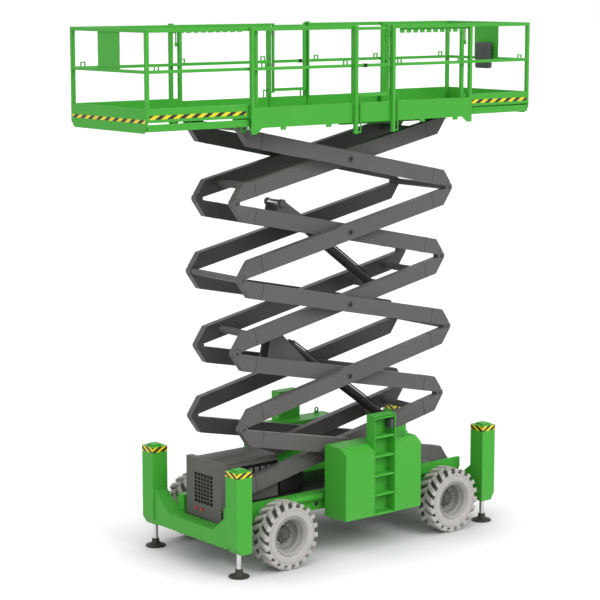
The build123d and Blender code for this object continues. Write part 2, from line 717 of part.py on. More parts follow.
def outrigger_frame():
    """Rear cross beam with a leg housing at each end and gussets between them."""
    half = POST_SIZE / 2
    post = box(-half, half, -half, half, POST_BOTTOM, POST_TOP)
    hollow = half - POST_WALL
    post = post - box(-hollow, hollow, -hollow, hollow, POST_BOTTOM + GUIDE_THICK, POST_TOP - POST_WALL)
    edge, foot_z = -half - OVERCUT, POST_BOTTOM - OVERCUT
    cut = [(edge, foot_z), (-half + POST_CHAMFER_RUN, foot_z), (edge, POST_BOTTOM + POST_CHAMFER)]
    post = post - prism_y(cut, -half - OVERCUT, half + OVERCUT)
    post = post - bar_z(0, 0, LEG_R + PIN_PLAY, POST_BOTTOM - OVERCUT, POST_BOTTOM + GUIDE_THICK + OVERCUT)
    cap = CAP_SIZE / 2
    post = post + box(-cap, cap, -cap, cap, POST_TOP, POST_TOP + CAP_HEIGHT)
    post = Pos(0, POST_Y, 0) * post
    inside = POST_Y - half
    rear, top = OUTRIGGER_SETBACK - half, OUTRIGGER_BEAM_TOP
    beam = box(rear, half, -inside, inside, OUTRIGGER_BEAM_BOTTOM, top)
    outline = [(inside, top), (inside - GUSSET_REACH, top), (inside, GUSSET_TOP)]
    gusset = prism_x(outline, rear, half)
    return Pos(-POST_X, 0, 0) * (beam + pair(gusset) + pair(post))


def leg():
    """Chromed jack rod of one outrigger."""
    return bar_z(0, 0, LEG_R, FOOT_HEIGHT, LEG_TOP)


def foot():
    """Cone-shaped foot pad with a collar round the rod."""
    section = [(0, 0), (FOOT_R, 0), (FOOT_R, FOOT_RIM), (COLLAR_R, FOOT_HEIGHT), (COLLAR_R, COLLAR_TOP)]
    section += [(LEG_R, COLLAR_TOP), (LEG_R, FOOT_HEIGHT), (0, FOOT_HEIGHT)]
    return revolve(Plane.XZ * make_face(Polyline(*section, close=True)), Axis.Z)


def side_hood():
    """Left hood: a closed housing with a sloped shoulder, a ladder recess and a lifting eye."""
    outline = [(HOOD_IN, HOOD_BOTTOM), (HOOD_OUT, HOOD_BOTTOM), (HOOD_OUT, HOOD_SHOULDER)]
    outline += [(HOOD_OUT - HOOD_SLOPE, HOOD_TOP), (HOOD_IN, HOOD_TOP)]
    body = prism_x(outline, HOOD_REAR, HOOD_FRONT)
    back = HOOD_OUT - LADDER_DEPTH
    body = body - box(LADDER_REAR - FIT_PLAY, LADDER_FRONT + FIT_PLAY, back, HOOD_OUT + OVERCUT,
                      HOOD_BOTTOM - OVERCUT, HOOD_TOP + OVERCUT)
    near, far = EYE_Y - EYE_THICK / 2, EYE_Y + EYE_THICK / 2
    eye = box(EYE_X - EYE_HALF, EYE_X + EYE_HALF, near, far, HOOD_TOP, HOOD_TOP + EYE_RISE)
    eye = eye + bar_y(EYE_X, HOOD_TOP + EYE_RISE, EYE_HALF, near, far)
    return body + (eye - bar_y(EYE_X, HOOD_TOP + EYE_RISE, EYE_HOLE_R, near - OVERCUT, far + OVERCUT))


def ladder():
    """Left ladder: a tall open-fronted column with steps across it."""
    back = HOOD_OUT - LADDER_DEPTH
    body = box(LADDER_REAR, LADDER_FRONT, back, HOOD_OUT, LADDER_BOTTOM, LADDER_TOP)
    near, far, inner = LADDER_REAR + LADDER_WALL, LADDER_FRONT - LADDER_WALL, back + LADDER_WALL
    low, high = LADDER_BOTTOM - OVERCUT, LADDER_TOP - LADDER_WALL
    body = body - box(near, far, inner, HOOD_OUT + OVERCUT, low, high)
    for i in range(STEP_COUNT):
        z = LADDER_BOTTOM + i * STEP_PITCH
        body = body + box(near, far, inner, HOOD_OUT - STEP_INSET, z, z + STEP_THICK)
    return body


def power_pack_cover():
    """Louvred hood between the inner arms with a wider rear cowl that holds a grille."""
    cowl = box(COWL_REAR, COWL_FRONT, -COWL_HALF, COWL_HALF, COWL_BOTTOM, COWL_TOP)
    middle = (COWL_BOTTOM + COWL_TOP) / 2
    cowl = cowl - box(COWL_REAR - OVERCUT, COWL_REAR + GRILLE_DEPTH, -GRILLE_HALF, GRILLE_HALF,
                      middle - GRILLE_HALF, middle + GRILLE_HALF)
    pitch = 2 * GRILLE_HALF / (GRILLE_BARS + 1)
    for i in range(1, GRILLE_BARS + 1):
        at = -GRILLE_HALF + i * pitch
        half = GRILLE_BAR / 2
        cowl = cowl + box(COWL_REAR + GRILLE_SET, COWL_REAR + GRILLE_DEPTH, at - half, at + half,
                          middle - GRILLE_HALF, middle + GRILLE_HALF)
        cowl = cowl + box(COWL_REAR + GRILLE_SET, COWL_REAR + GRILLE_DEPTH, -GRILLE_HALF, GRILLE_HALF,
                          middle + at - half, middle + at + half)
    hood = box(COWL_FRONT, PACK_FRONT, -PACK_HALF, PACK_HALF, CROSS_TOP, PACK_TOP)
    hood = hood - box(COWL_FRONT, PACK_FRONT - PACK_WALL, -PACK_HALF + PACK_WALL, PACK_HALF - PACK_WALL,
                      CROSS_TOP - OVERCUT, PACK_TOP - PACK_WALL)
    slot_pitch = (PACK_FRONT - COWL_FRONT) / (LOUVRE_COUNT + 1)
    for i in range(1, LOUVRE_COUNT + 1):
        x = COWL_FRONT + i * slot_pitch
        hood = hood - box(x - LOUVRE_HALF, x + LOUVRE_HALF, -PACK_HALF - OVERCUT, PACK_HALF + OVERCUT,
                          PACK_TOP - LOUVRE_LOW, PACK_TOP - LOUVRE_HIGH)
    return cowl + hood


def power_pack_lamps():
    """Two small round lamps on the cowl under the grille."""
    lamp = Pos(0, 0, COWL_BOTTOM + LAMP_RISE) * along_x(LAMP_R, COWL_REAR - LAMP_THICK, COWL_REAR)
    return Compound(children=[Pos(0, y, 0) * lamp for y in LAMP_Y])


def battery_pack():
    """The heavy batteries under the louvred hood, as one block."""
    gap = PACK_WALL + BATTERY_GAP
    half, top = PACK_HALF - gap, PACK_TOP - BATTERY_DROP
    return box(COWL_FRONT + BATTERY_GAP, PACK_FRONT - gap, -half, half, CROSS_TOP, top)


# Platform

def main_deck():
    """Floor plate with its beams, pivot brackets and slide tracks."""
    inside = SIDE_HALF - PANEL_THICK
    body = box(-MAIN_HALF, MAIN_HALF, -inside, inside, FLOOR_Z, FLOOR_Z + FLOOR_THICK)
    beam_low = DECK_PIN_Z + DECK_BEAM_RISE
    beam_end = MAIN_HALF - DECK_BEAM_INSET
    body = body + pair(box(-beam_end, beam_end, DECK_BEAM_IN, DECK_BEAM_OUT, beam_low, FLOOR_Z))
    half = ARM_WIDTH / 2 + BRACKET_GAP
    for y in (OUTER_Y - half - BRACKET_THICK, OUTER_Y + half):
        plate = box(PIVOT_X - KNUCKLE_R, PIVOT_X + KNUCKLE_R, y, y + BRACKET_THICK, DECK_PIN_Z, beam_low)
        plate = plate + bar_y(PIVOT_X, DECK_PIN_Z, KNUCKLE_R, y, y + BRACKET_THICK)
        far = y + BRACKET_THICK + OVERCUT
        plate = plate - bar_y(PIVOT_X, DECK_PIN_Z, PIN_R + PIN_PLAY, y - OVERCUT, far)
        body = body + pair(plate)
    track_end = MAIN_HALF + BLOCK_HALF_X + RUN_GAP
    channel = track(UPPER_TRACK_WEB, UPPER_TRACK_OPEN, TRACK_START, track_end, DECK_PIN_Z)
    web = box(TRACK_START, MAIN_HALF, UPPER_TRACK_WEB, UPPER_TRACK_WEB + TRACK_WALL, DECK_PIN_Z, FLOOR_Z)
    return body + pair(channel) + pair(web)


def main_guardrail(hinge_front):
    """Left side panel with its posts, rails, gate posts and gate pintles."""
    z = DECK_PIN_Z
    outside = SIDE_HALF
    inside = outside - RAIL
    body = box(-MAIN_HALF, MAIN_HALF, outside - PANEL_THICK, outside, z + PANEL_BOTTOM, z + PANEL_TOP)
    floor = FLOOR_Z + FLOOR_THICK
    for end in (-1, 1):
        x = end * (MAIN_HALF - RAIL / 2)
        body = body + box(x - RAIL / 2, x + RAIL / 2, inside, outside, floor, z + RAIL_TOP)
        gate = GATE_REAR if end < 0 else GATE_FRONT
        low_x, high_x = sorted((end * MAIN_HALF, gate))
        top, mid = z + RAIL_TOP, z + MID_RAIL_TOP
        body = body + box(low_x, high_x, inside, outside, top - RAIL, top)
        body = body + box(low_x, high_x, inside, inside + MID_RAIL, mid - MID_RAIL, mid)
        half = RAIL / 2
        body = body + box(gate - half, gate + half, outside, outside + RAIL, z + GATE_POST_DROP, top)
        body = body + between(gate, gate + end * half, inside, outside, floor, top)
    hinge_x, hinge_y, _ = gate_axis(hinge_front)
    post = GATE_FRONT if hinge_front else GATE_REAR
    for low, high, pin_low, pin_high in gate_lug_heights():
        lug = between(post, hinge_x, hinge_y - GATE_R, outside, low, high)
        lug = lug + bar_z(hinge_x, hinge_y, GATE_R, low, high)
        body = body + lug + bar_z(hinge_x, hinge_y, GATE_PIN_R, pin_low, pin_high)
    for gate_x in (GATE_REAR, GATE_FRONT):
        body = body + grab_bar(gate_x, 1 if hinge_front else -1)
    rings = [lanyard_ring(x, inside + MID_RAIL / 2, mid) for x in RING_X]
    return body + rings + lock_comb(*COMB_RANGE[hinge_front]) + deck_fittings()


def grab_bar(gate_x, way):
    """Thin hand bar beside a gate post, held by a stub at each end."""
    y = SIDE_HALF + RAIL / 2
    x = gate_x + way * GRAB_OFFSET
    low, high = DECK_PIN_Z + GATE_POST_DROP + 2 * GRAB_R, DECK_PIN_Z + GRAB_TOP
    body = bar_z(x, y, GRAB_R, low - GRAB_R, high + GRAB_R)
    for height in (low, high):
        body = body + Pos(0, y, height) * along_x(GRAB_R, *sorted((gate_x, x)))
    return body


def lanyard_ring(x, y, low):
    """Loop of square bar on a rail for a safety lanyard."""
    half = RING_WIDTH / 2
    loop = box(x - half, x + half, y - RING_R, y + RING_R, low - RING_R, low + RING_HEIGHT)
    inside = half - 2 * RING_R
    near, far = y - RING_R - OVERCUT, y + RING_R + OVERCUT
    return loop - box(x - inside, x + inside, near, far, low, low + RING_HEIGHT - 2 * RING_R)


def lock_comb(start, end):
    """Toothed bar under the top rail that the extension's lock pin drops into."""
    top = DECK_PIN_Z + RAIL_TOP - RAIL
    near, far = COMB_Y, COMB_Y + COMB_THICK
    body = box(start, end, near, far, top - COMB_BACK, top)
    for i in range(int((end - start - TOOTH_WIDTH) / TOOTH_PITCH) + 1):
        x = start + i * TOOTH_PITCH
        body = body + box(x, x + TOOTH_WIDTH, near, far, top - COMB_BACK - TOOTH_HEIGHT, top - COMB_BACK)
    return body


def deck_fittings():
    """Tabs under the side panel, and at each end a bracket with the roller that carries the extension."""
    near, outside = SIDE_HALF - PANEL_THICK, SIDE_HALF
    low = DECK_PIN_Z + PANEL_BOTTOM
    roller_z = DECK_PIN_Z + EXT_BOTTOM + EXT_BEAM_LOW - ROLLER_R - FIT_PLAY
    pieces = [box(x, x + TAB_WIDTH, near, outside, low - TAB_DROP, low) for x in TAB_X]
    for end in (-1, 1):
        corner = end * MAIN_HALF
        back = corner - end * ROLLER_BRACKET
        outline = [(corner, low + TAB_DROP), (corner, low - ROLLER_DROP)]
        outline += [(corner - end * TAB_WIDTH, low - ROLLER_DROP), (back, low), (back, low + TAB_DROP)]
        pieces.append(prism_y(outline, near, outside))
        pieces.append(bar_y(corner - end * 2 * ROLLER_R, roller_z, ROLLER_R, EXT_HALF - EXT_SIDE, near))
    return pieces


def gate_axis(hinge_front):
    """Hinge axis of a gate on the left side, and its free end along X."""
    edge = RAIL / 2 + RUN_GAP
    y = SIDE_HALF - RAIL / 2
    if hinge_front:
        return GATE_FRONT - edge - GATE_R, y, GATE_REAR + edge
    return GATE_REAR + edge + GATE_R, y, GATE_FRONT - edge


def gate_lug_heights():
    """Bottom and top of each gate lug, and of the pin that stands on it."""
    low = DECK_PIN_Z + GATE_FOOT
    top = DECK_PIN_Z + RAIL_TOP
    pin = GATE_PIN_LENGTH
    foot = (low - LUG_PLATE, low, low - LUG_PLATE, low + pin)
    head = (top - LUG_PLATE, top, top - LUG_PLATE - pin, top)
    return foot, head


def gate(hinge_front):
    """Swing gate on the left side: a round hinge stile, rails and a latch stile."""
    x, y, end = gate_axis(hinge_front)
    low = DECK_PIN_Z + GATE_FOOT + FIT_PLAY
    high = DECK_PIN_Z + RAIL_TOP - LUG_PLATE - FIT_PLAY
    body = bar_z(x, y, GATE_R, low, high)
    mid = DECK_PIN_Z + MID_RAIL_TOP
    for top, tall in ((high, GATE_RAIL), (mid, MID_RAIL), (low + MID_RAIL, MID_RAIL)):
        body = body + between(x, end, y - GATE_R, y + GATE_R, top - tall, top)
    stile = end + 2 * GATE_R if hinge_front else end - 2 * GATE_R
    body = body + between(stile, end, y - GATE_R, y + GATE_R, low, high)
    for _, _, pin_low, pin_high in gate_lug_heights():
        body = body - bar_z(x, y, GATE_PIN_R + PIN_PLAY, pin_low - END_PLAY, pin_high + END_PLAY)
    return body


def extension_ends(front):
    """Outer and inner end of an extension deck along X."""
    if front:
        return FRONT_END, MAIN_HALF - EXT_OVERLAP
    return REAR_END, -MAIN_HALF + EXT_OVERLAP


def between(first, second, y0, y1, z0, z1):
    """A box whose ends along X come in either order."""
    return box(min(first, second), max(first, second), y0, y1, z0, z1)


def extension_deck(front):
    """Sliding deck: end plate, floor on wear pads, and side beams that straddle the main floor."""
    outer, inner = extension_ends(front)
    sign = 1 if front else -1
    z = DECK_PIN_Z
    plate_in = outer - sign * EXT_END_PLATE
    cut = EXT_END_CHAMFER
    low, high = z + EXT_BOTTOM, z + EXT_TOP
    outline = [(-EXT_HALF + cut, low), (EXT_HALF - cut, low), (EXT_HALF, low + cut)]
    outline += [(EXT_HALF, high), (-EXT_HALF, high), (-EXT_HALF, low + cut)]
    body = prism_x(outline, min(outer, plate_in), max(outer, plate_in))
    side = EXT_HALF - EXT_SIDE
    body = body + between(plate_in, inner, -side, side, EXT_FLOOR_Z, EXT_FLOOR_Z + FLOOR_THICK)
    upper = between(plate_in, inner, side, EXT_HALF, EXT_FLOOR_Z, high)
    lower = between(plate_in, inner, side, EXT_HALF, low + EXT_BEAM_LOW, z + EXT_BEAM_TOP)
    pad_low = FLOOR_Z + FLOOR_THICK + FIT_PLAY
    pad = between(inner, inner + sign * PAD_LENGTH, PAD_IN, PAD_OUT, pad_low, EXT_FLOOR_Z)
    return body + pair(upper) + pair(lower) + pair(pad)


def extension_rails(front):
    """Guardrails of an extension: end frame with its sheet, and two side frames."""
    outer, inner = extension_ends(front)
    sign = 1 if front else -1
    z = DECK_PIN_Z
    top, mid = z + RAIL_TOP, z + MID_RAIL_TOP
    low = z + EXT_TOP
    side = EXT_HALF - RAIL
    post_in = outer - sign * RAIL
    frame = between(outer, post_in, side, EXT_HALF, low, top)
    frame = frame + between(inner, inner + sign * RAIL, side, EXT_HALF, low, top)
    frame = frame + between(outer, inner, side, EXT_HALF, top - RAIL, top)
    frame = frame + between(outer, inner, side, side + MID_RAIL, mid - MID_RAIL, mid)
    body = frame + other_side(frame)
    body = body + between(outer, post_in, -side, side, top - RAIL, top)
    body = body + between(outer - sign * EXT_MID_SETBACK, post_in, -side, side, mid - MID_RAIL, mid)
    ring = lanyard_ring(outer - sign * EXT_RING_INSET, side + MID_RAIL / 2, mid)
    sheet = outer - sign * RAIL / 2
    plate = between(sheet, sheet - sign * SHEET_THICK, -SHEET_HALF, SHEET_HALF, mid, top - RAIL)
    return body + pair(ring) + plate


def control_box():
    """Platform control box on the inner side of the front sheet."""
    face = FRONT_END - RAIL / 2 - SHEET_THICK
    low = DECK_PIN_Z + MID_RAIL_TOP - BOX_DROP
    body = box(face - BOX_DEPTH, face, -BOX_WIDTH / 2, BOX_WIDTH / 2, low, low + BOX_HEIGHT)
    rail_back, rail_top = FRONT_END - RAIL - OVERCUT, DECK_PIN_Z + MID_RAIL_TOP
    return body - box(rail_back, face + OVERCUT, -BOX_WIDTH, BOX_WIDTH, low - OVERCUT, rail_top)


def machine():
    """Every piece of the lift by name, about the chassis's own middle."""
    nodes = {
        "chassis_frame": chassis_frame(),
        "slide_tracks": slide_tracks(),
        "rear_outrigger_frame": outrigger_frame(),
        "front_outrigger_frame": mirror(outrigger_frame(), Plane.YZ),
        "left_side_hood": side_hood(),
        "right_side_hood": other_side(side_hood()),
        "left_ladder": ladder(),
        "right_ladder": other_side(ladder()),
        "power_pack_cover": power_pack_cover(),
        "power_pack_lamps": power_pack_lamps(),
        "battery_pack": battery_pack(),
        "rear_axle": rear_axle(),
        "front_axle": front_axle(),
        "left_knuckle": knuckle(),
        "right_knuckle": other_side(knuckle()),
        "tie_rod": tie_rod(),
        "lower_slide_blocks": lower_slide_blocks(),
        "upper_slide_blocks": upper_slide_blocks(),
        "main_deck": main_deck(),
        "left_guardrail": main_guardrail(hinge_front=False),
        "right_guardrail": other_side(main_guardrail(hinge_front=True)),
        "left_gate": gate(hinge_front=False),
        "right_gate": other_side(gate(hinge_front=True)),
        "rear_extension_deck": extension_deck(False),
        "rear_extension_rails": extension_rails(False),
        "front_extension_deck": extension_deck(True),
        "front_extension_rails": extension_rails(True),
        "control_box": control_box(),
    }
    one_tyre = tyre()
    one_rim = rim()
    for end, x_sign in (("rear", -1), ("front", 1)):
        for side, y_sign in (("left", 1), ("right", -1)):
            nodes[f"{end}_{side}_tyre"] = at_wheel(one_tyre, x_sign, y_sign)
            nodes[f"{end}_{side}_rim"] = at_wheel(one_rim, x_sign, y_sign)
            place = Pos(x_sign * POST_X, y_sign * POST_Y, 0)
            nodes[f"{end}_{side}_leg"] = place * leg()
            nodes[f"{end}_{side}_foot"] = place * foot()
    for level in range(1, LEVELS + 1):
        nodes[f"inner_frame_{level}"] = stand(inner_frame(level), "inner", level)
        nodes[f"outer_frame_{level}"] = stand(outer_frame(level), "outer", level)
    for name, level in (("lower", 1), ("upper", 3)):
        nodes[f"{name}_cylinder_barrel"] = cylinder_barrel(level)
        nodes[f"{name}_cylinder_rod"] = cylinder_rod(level)
    return nodes


def main():
    os.makedirs("parts", exist_ok=True)
    for name, shape in machine().items():
        export_step(Pos(CHASSIS_X, 0, 0) * shape, f"parts/{name}.step")


if __name__ == "__main__":
    main()
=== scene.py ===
import bmesh
import bpy
import numpy as np
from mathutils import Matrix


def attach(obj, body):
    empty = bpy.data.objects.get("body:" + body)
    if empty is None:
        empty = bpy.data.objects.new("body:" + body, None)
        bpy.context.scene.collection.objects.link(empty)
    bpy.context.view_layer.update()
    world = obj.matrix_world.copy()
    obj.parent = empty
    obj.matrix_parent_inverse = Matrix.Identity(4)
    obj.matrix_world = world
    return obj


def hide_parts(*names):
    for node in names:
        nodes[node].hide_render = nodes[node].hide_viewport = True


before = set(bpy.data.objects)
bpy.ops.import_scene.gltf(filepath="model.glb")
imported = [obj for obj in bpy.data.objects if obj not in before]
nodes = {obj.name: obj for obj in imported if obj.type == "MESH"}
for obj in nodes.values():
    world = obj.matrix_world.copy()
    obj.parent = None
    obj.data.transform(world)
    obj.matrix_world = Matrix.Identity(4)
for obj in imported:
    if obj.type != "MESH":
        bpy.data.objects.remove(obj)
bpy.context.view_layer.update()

# Camera
# A long lens on a 36 mm wide sensor, behind and to the right of the machine.
# It stands a little above the machine's middle height and looks slightly down.
CAMERA_PLACE = (-16.022, -19.449, 7.130)
CAMERA_YAW, CAMERA_DROP = 39.14, 9.055
LENS_LENGTH, SENSOR_WIDTH, CAMERA_REACH = 119.23, 36, 400
lens = bpy.data.cameras.new("studio_camera")
lens.lens = LENS_LENGTH
lens.sensor_width = SENSOR_WIDTH
lens.clip_end = CAMERA_REACH
camera = bpy.data.objects.new("studio_camera", lens)
camera.location = CAMERA_PLACE
camera.rotation_euler = np.radians((90 - CAMERA_DROP, 0, -CAMERA_YAW))
bpy.context.scene.collection.objects.link(camera)
bpy.context.scene.camera = camera
bpy.context.scene.view_settings.view_transform = "Standard"

# Chassis and outrigger frames, hoods and ladders
# Welded steel box sections and folded sheet, all in one bright green gloss paint, a thin sprayed coat.
# The coat is even, with a slight orange peel, and gathers a film of dust near the ground.
DRIFT_SIZE, SPECK_SIZE, PEEL_SIZE = 0.7, 0.05, 0.009
DUST_STARTS, DUST_FULL, DUST_COLOUR = 0.8, 0.2, "#8A8578"
# Painted shade on faces that look in at the middle plane: it starts where y times the normal's y is -0.1 and
# is full at -0.3.
INWARD_SHADE_STARTS, INWARD_SHADE_FULL, INWARD_SHADE_COLOUR = -0.1, -0.3, "#1E1D1B"
GLOSS_SWING = 0.07
PEEL_STRENGTH, PEEL_DEPTH = 0.08, 0.002
MERGE_REACH, EDGE_STEPS, EDGE_ANGLE = 0.00002, 2, 40
FRAME_EDGE = 0.004


def srgb(code):
    """Linear colour of an sRGB hex value: ((c + 0.055) / 1.055) to the power 2.4, or c / 12.92 when dark."""
    c = np.array([int(code[i:i + 2], 16) for i in (1, 3, 5)]) / 255
    return (*np.where(c > 0.04045, ((c + 0.055) / 1.055) ** 2.4, c / 12.92), 1.0)


def add(tree, kind, inputs=(), **settings):
    """One node: settings are its properties, inputs a dict of socket to value or to another node's output."""
    made = tree.nodes.new(kind)
    for name, value in settings.items():
        setattr(made, name, value)
    for name, value in dict(inputs).items():
        if isinstance(value, bpy.types.NodeSocket):
            tree.links.new(value, made.inputs[name])
        else:
            made.inputs[name].default_value = value
    return made


def blank(name, **shader):
    """A material with its tree, principled shader (named sockets set) and object coordinates."""
    material = bpy.data.materials.new(name)
    material.use_nodes = True
    tree = material.node_tree
    surface = tree.nodes["Principled BSDF"]
    for socket, value in shader.items():
        surface.inputs[socket.replace("_", " ")].default_value = value
    place = add(tree, "ShaderNodeTexCoord").outputs["Object"]
    return material, tree, surface, place


def painted_steel(name, colour, shade, roughness, dust=0.0, inward_shade=0.0):
    """Sprayed paint: slow drift of colour, orange peel drawn coarse so that it shows, dust near the ground.
    Painted shade darkens faces that look in at the middle plane, where y times the normal's y is negative."""
    material, tree, surface, place = blank(name, IOR=1.45, Specular_IOR_Level=0.25)
    point = add(tree, "ShaderNodeSeparateXYZ", {"Vector": place})
    normal = add(tree, "ShaderNodeTexCoord").outputs["Normal"]
    looks = add(tree, "ShaderNodeSeparateXYZ", {"Vector": normal})
    drift = add(tree, "ShaderNodeTexNoise", {"Vector": place, "Scale": 1 / DRIFT_SIZE, "Detail": 3.0})
    coat = add(tree, "ShaderNodeMix", {"Factor": drift.outputs["Fac"], "A": srgb(colour), "B": srgb(shade)},
               data_type="RGBA")
    low = add(tree, "ShaderNodeMapRange", {"Value": point.outputs["Z"], "From Min": DUST_STARTS,
                                           "From Max": DUST_FULL, "To Max": dust})
    specks = add(tree, "ShaderNodeTexNoise", {"Vector": place, "Scale": 1 / SPECK_SIZE, "Detail": 5.0})
    film = add(tree, "ShaderNodeMath", {0: low.outputs["Result"], 1: specks.outputs["Fac"]},
               operation="MULTIPLY")
    dusty = add(tree, "ShaderNodeMix", {"Factor": film.outputs["Value"], "A": coat.outputs["Result"],
                                        "B": srgb(DUST_COLOUR)}, data_type="RGBA")
    # Painted shade: a near-black colour mixed in on the faces that look inwards.
    inward = add(tree, "ShaderNodeMath", {0: point.outputs["Y"], 1: looks.outputs["Y"]}, operation="MULTIPLY")
    inward_shade_mask = add(tree, "ShaderNodeMapRange", {"Value": inward.outputs["Value"], "From Min": INWARD_SHADE_STARTS,
                                             "From Max": INWARD_SHADE_FULL, "To Max": inward_shade})
    inward_shaded = add(tree, "ShaderNodeMix", {"Factor": inward_shade_mask.outputs["Result"], "A": dusty.outputs["Result"],
                                         "B": srgb(INWARD_SHADE_COLOUR)}, data_type="RGBA")
    tree.links.new(inward_shaded.outputs["Result"], surface.inputs["Base Color"])
    gloss = add(tree, "ShaderNodeMapRange", {"Value": specks.outputs["Fac"],
                                             "To Min": roughness - GLOSS_SWING,
                                             "To Max": roughness + GLOSS_SWING})
    tree.links.new(gloss.outputs["Result"], surface.inputs["Roughness"])
    peel = add(tree, "ShaderNodeTexNoise", {"Vector": place, "Scale": 1 / PEEL_SIZE, "Detail": 1.0})
    bump = add(tree, "ShaderNodeBump", {"Height": peel.outputs["Fac"], "Strength": PEEL_STRENGTH,
                                        "Distance": PEEL_DEPTH})
    tree.links.new(bump.outputs["Normal"], surface.inputs["Normal"])
    return material


def dress(material, edge, *names):
    """Gives CAD nodes a material, and rounds their sharp edges by a few millimetres where edge is not 0."""
    for name in names:
        node = nodes[name]
        if not node.material_slots:
            node.data.materials.append(material)
        for place in node.material_slots:
            place.material = material
        if edge:
            weld = node.modifiers.new("weld", "WELD")
            weld.merge_threshold = MERGE_REACH
            rounded = node.modifiers.new("edge", "BEVEL")
            rounded.width = edge
            rounded.segments = EDGE_STEPS
            rounded.limit_method = "ANGLE"
            rounded.angle_limit = np.radians(EDGE_ANGLE)
            rounded.harden_normals = True


# Gloss paint: a bright even green with soft, slightly broken highlights, duller near the ground.
green = painted_steel("green_gloss_paint_on_steel", "#49AC3B", "#42A335", roughness=0.4, dust=0.12)
dress(green, FRAME_EDGE, "chassis_frame", "slide_tracks", "rear_outrigger_frame", "front_outrigger_frame",
      "left_side_hood", "right_side_hood", "left_ladder", "right_ladder")

# Hazard bands on the leg housings
# Printed vinyl tape in yellow and black, stuck once round the top of each square housing.
# Lengths along X count from the middle between the axles, which is CHASSIS_X ahead of the frame's origin.
CHASSIS_X = 0.185
SHIFT = np.array((CHASSIS_X, 0, 0))
POST_X, POST_Y, POST_HALF = 2.05, 0.881, 0.115
BAND_LOW, BAND_HIGH, BAND_PITCH = 1.252, 1.320, 0.13
TAPE_PROUD, TAPE_SLANT, FADE_SIZE = 0.0006, 1.7, 0.03
TAPE_YELLOW, TAPE_FADED, TAPE_BLACK = "#EFE023", "#DCCB1C", "#1C1B16"


def stripes(name, pitch):
    """Stripes on the tape's UV map in metres: black where (u - slant v) / pitch has a fraction over 0.5."""
    material, tree, surface, place = blank(name, Roughness=0.42, IOR=1.48)
    flat = add(tree, "ShaderNodeUVMap", uv_map="tape")
    across = add(tree, "ShaderNodeSeparateXYZ", {"Vector": flat.outputs["UV"]})
    rise = add(tree, "ShaderNodeMath", {0: across.outputs["Y"], 1: TAPE_SLANT}, operation="MULTIPLY")
    slant = add(tree, "ShaderNodeMath", {0: across.outputs["X"], 1: rise.outputs["Value"]},
                operation="SUBTRACT")
    turn = add(tree, "ShaderNodeMath", {0: slant.outputs["Value"], 1: 1 / pitch}, operation="MULTIPLY")
    part = add(tree, "ShaderNodeMath", {0: turn.outputs["Value"]}, operation="FRACT")
    black = add(tree, "ShaderNodeMath", {0: part.outputs["Value"], 1: 0.5}, operation="GREATER_THAN")
    fade = add(tree, "ShaderNodeTexNoise", {"Vector": place, "Scale": 1 / FADE_SIZE, "Detail": 4.0})
    yellow = add(tree, "ShaderNodeMix", {"Factor": fade.outputs["Fac"], "A": srgb(TAPE_YELLOW),
                                         "B": srgb(TAPE_FADED)}, data_type="RGBA")
    both = add(tree, "ShaderNodeMix", {"Factor": black.outputs["Value"], "A": yellow.outputs["Result"],
                                       "B": srgb(TAPE_BLACK)}, data_type="RGBA")
    tree.links.new(both.outputs["Result"], surface.inputs["Base Color"])
    return material


def put(name, mesh, body, material):
    """Object of a finished mesh, with its material, on its body."""
    mesh.materials.append(material)
    made = bpy.data.objects.new(name, mesh)
    bpy.context.scene.collection.objects.link(made)
    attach(made, body)
    return made


def quads(grid, round_rows, round_columns, start=0):
    """Faces between neighbours of a grid of points; a round way also joins its last line to the first."""
    rows, columns = grid.shape[:2]
    row_ends, column_ends = rows - (not round_rows), columns - (not round_columns)
    i, j = np.meshgrid(np.arange(row_ends), np.arange(column_ends), indexing="ij")
    below, beside = (i + 1) % rows, (j + 1) % columns
    corners = (i * columns + j, below * columns + j, below * columns + beside, i * columns + beside)
    return start + np.stack(corners, -1).reshape(-1, 4)


def tape(name, path, low, high, body, material, slot, mirrored=False):
    """Strip that stands on a path of (x, y) points from low to high, with UV in metres along and up it.
    A mirrored strip counts back along every second run, so that its stripes meet in a V at the corners."""
    path = np.array(path)
    runs = np.linalg.norm(np.diff(path, axis=0), axis=1)
    along = np.concatenate([[0], np.cumsum(runs * (-1) ** np.arange(len(runs)) if mirrored else runs)])
    grid = np.stack([np.column_stack([path, np.full(len(path), z)]) for z in (low, high)])
    mesh = bpy.data.meshes.new(name)
    faces = quads(grid, False, False)[:, ::-1]
    mesh.from_pydata(grid.reshape(-1, 3).tolist(), [], faces.tolist())
    flat = np.column_stack([np.tile(along, 2), np.repeat([low, high], len(path))])
    layer = mesh.uv_layers.new(name="tape")
    corners = np.empty(len(mesh.loops), dtype=np.int32)
    mesh.loops.foreach_get("vertex_index", corners)
    layer.data.foreach_set("uv", flat[corners].astype(np.float32).ravel())
    put(name, mesh, body, material)


# Printed vinyl: flat colour with crisp edges, the yellow a little uneven from the sun.
housing_tape = stripes("hazard_vinyl_on_housings", BAND_PITCH)
square = np.array([(-1, -1), (1, -1), (1, 1), (-1, 1), (-1, -1)]) * (POST_HALF + TAPE_PROUD)
POSTS = {f"{end}_{side}": (x + CHASSIS_X, y) for end, x in (("rear", -POST_X), ("front", POST_X))
         for side, y in (("left", POST_Y), ("right", -POST_Y))}
for post, place in POSTS.items():
    tape(f"{post}_hazard_band", square + place, BAND_LOW, BAND_HIGH, "chassis", housing_tape, "green_paint",
         mirrored=True)

# Plates on the leg housings
# Cut steel plates over the slanted foot of each hollow housing.
# They are welded along their edges and painted with it.
POST_FOOT, CHAMFER_RUN, CHAMFER_RISE = 0.300, 0.060, 0.100
PLATE_START, PLATE_END, PLATE_INSET = 0.002, 0.113, 0.001
PLATE_PROUD, PLATE_SUNK = 0.0008, 0.004
SAME_POINT, NO_LENGTH = 1e-6, 1e-7


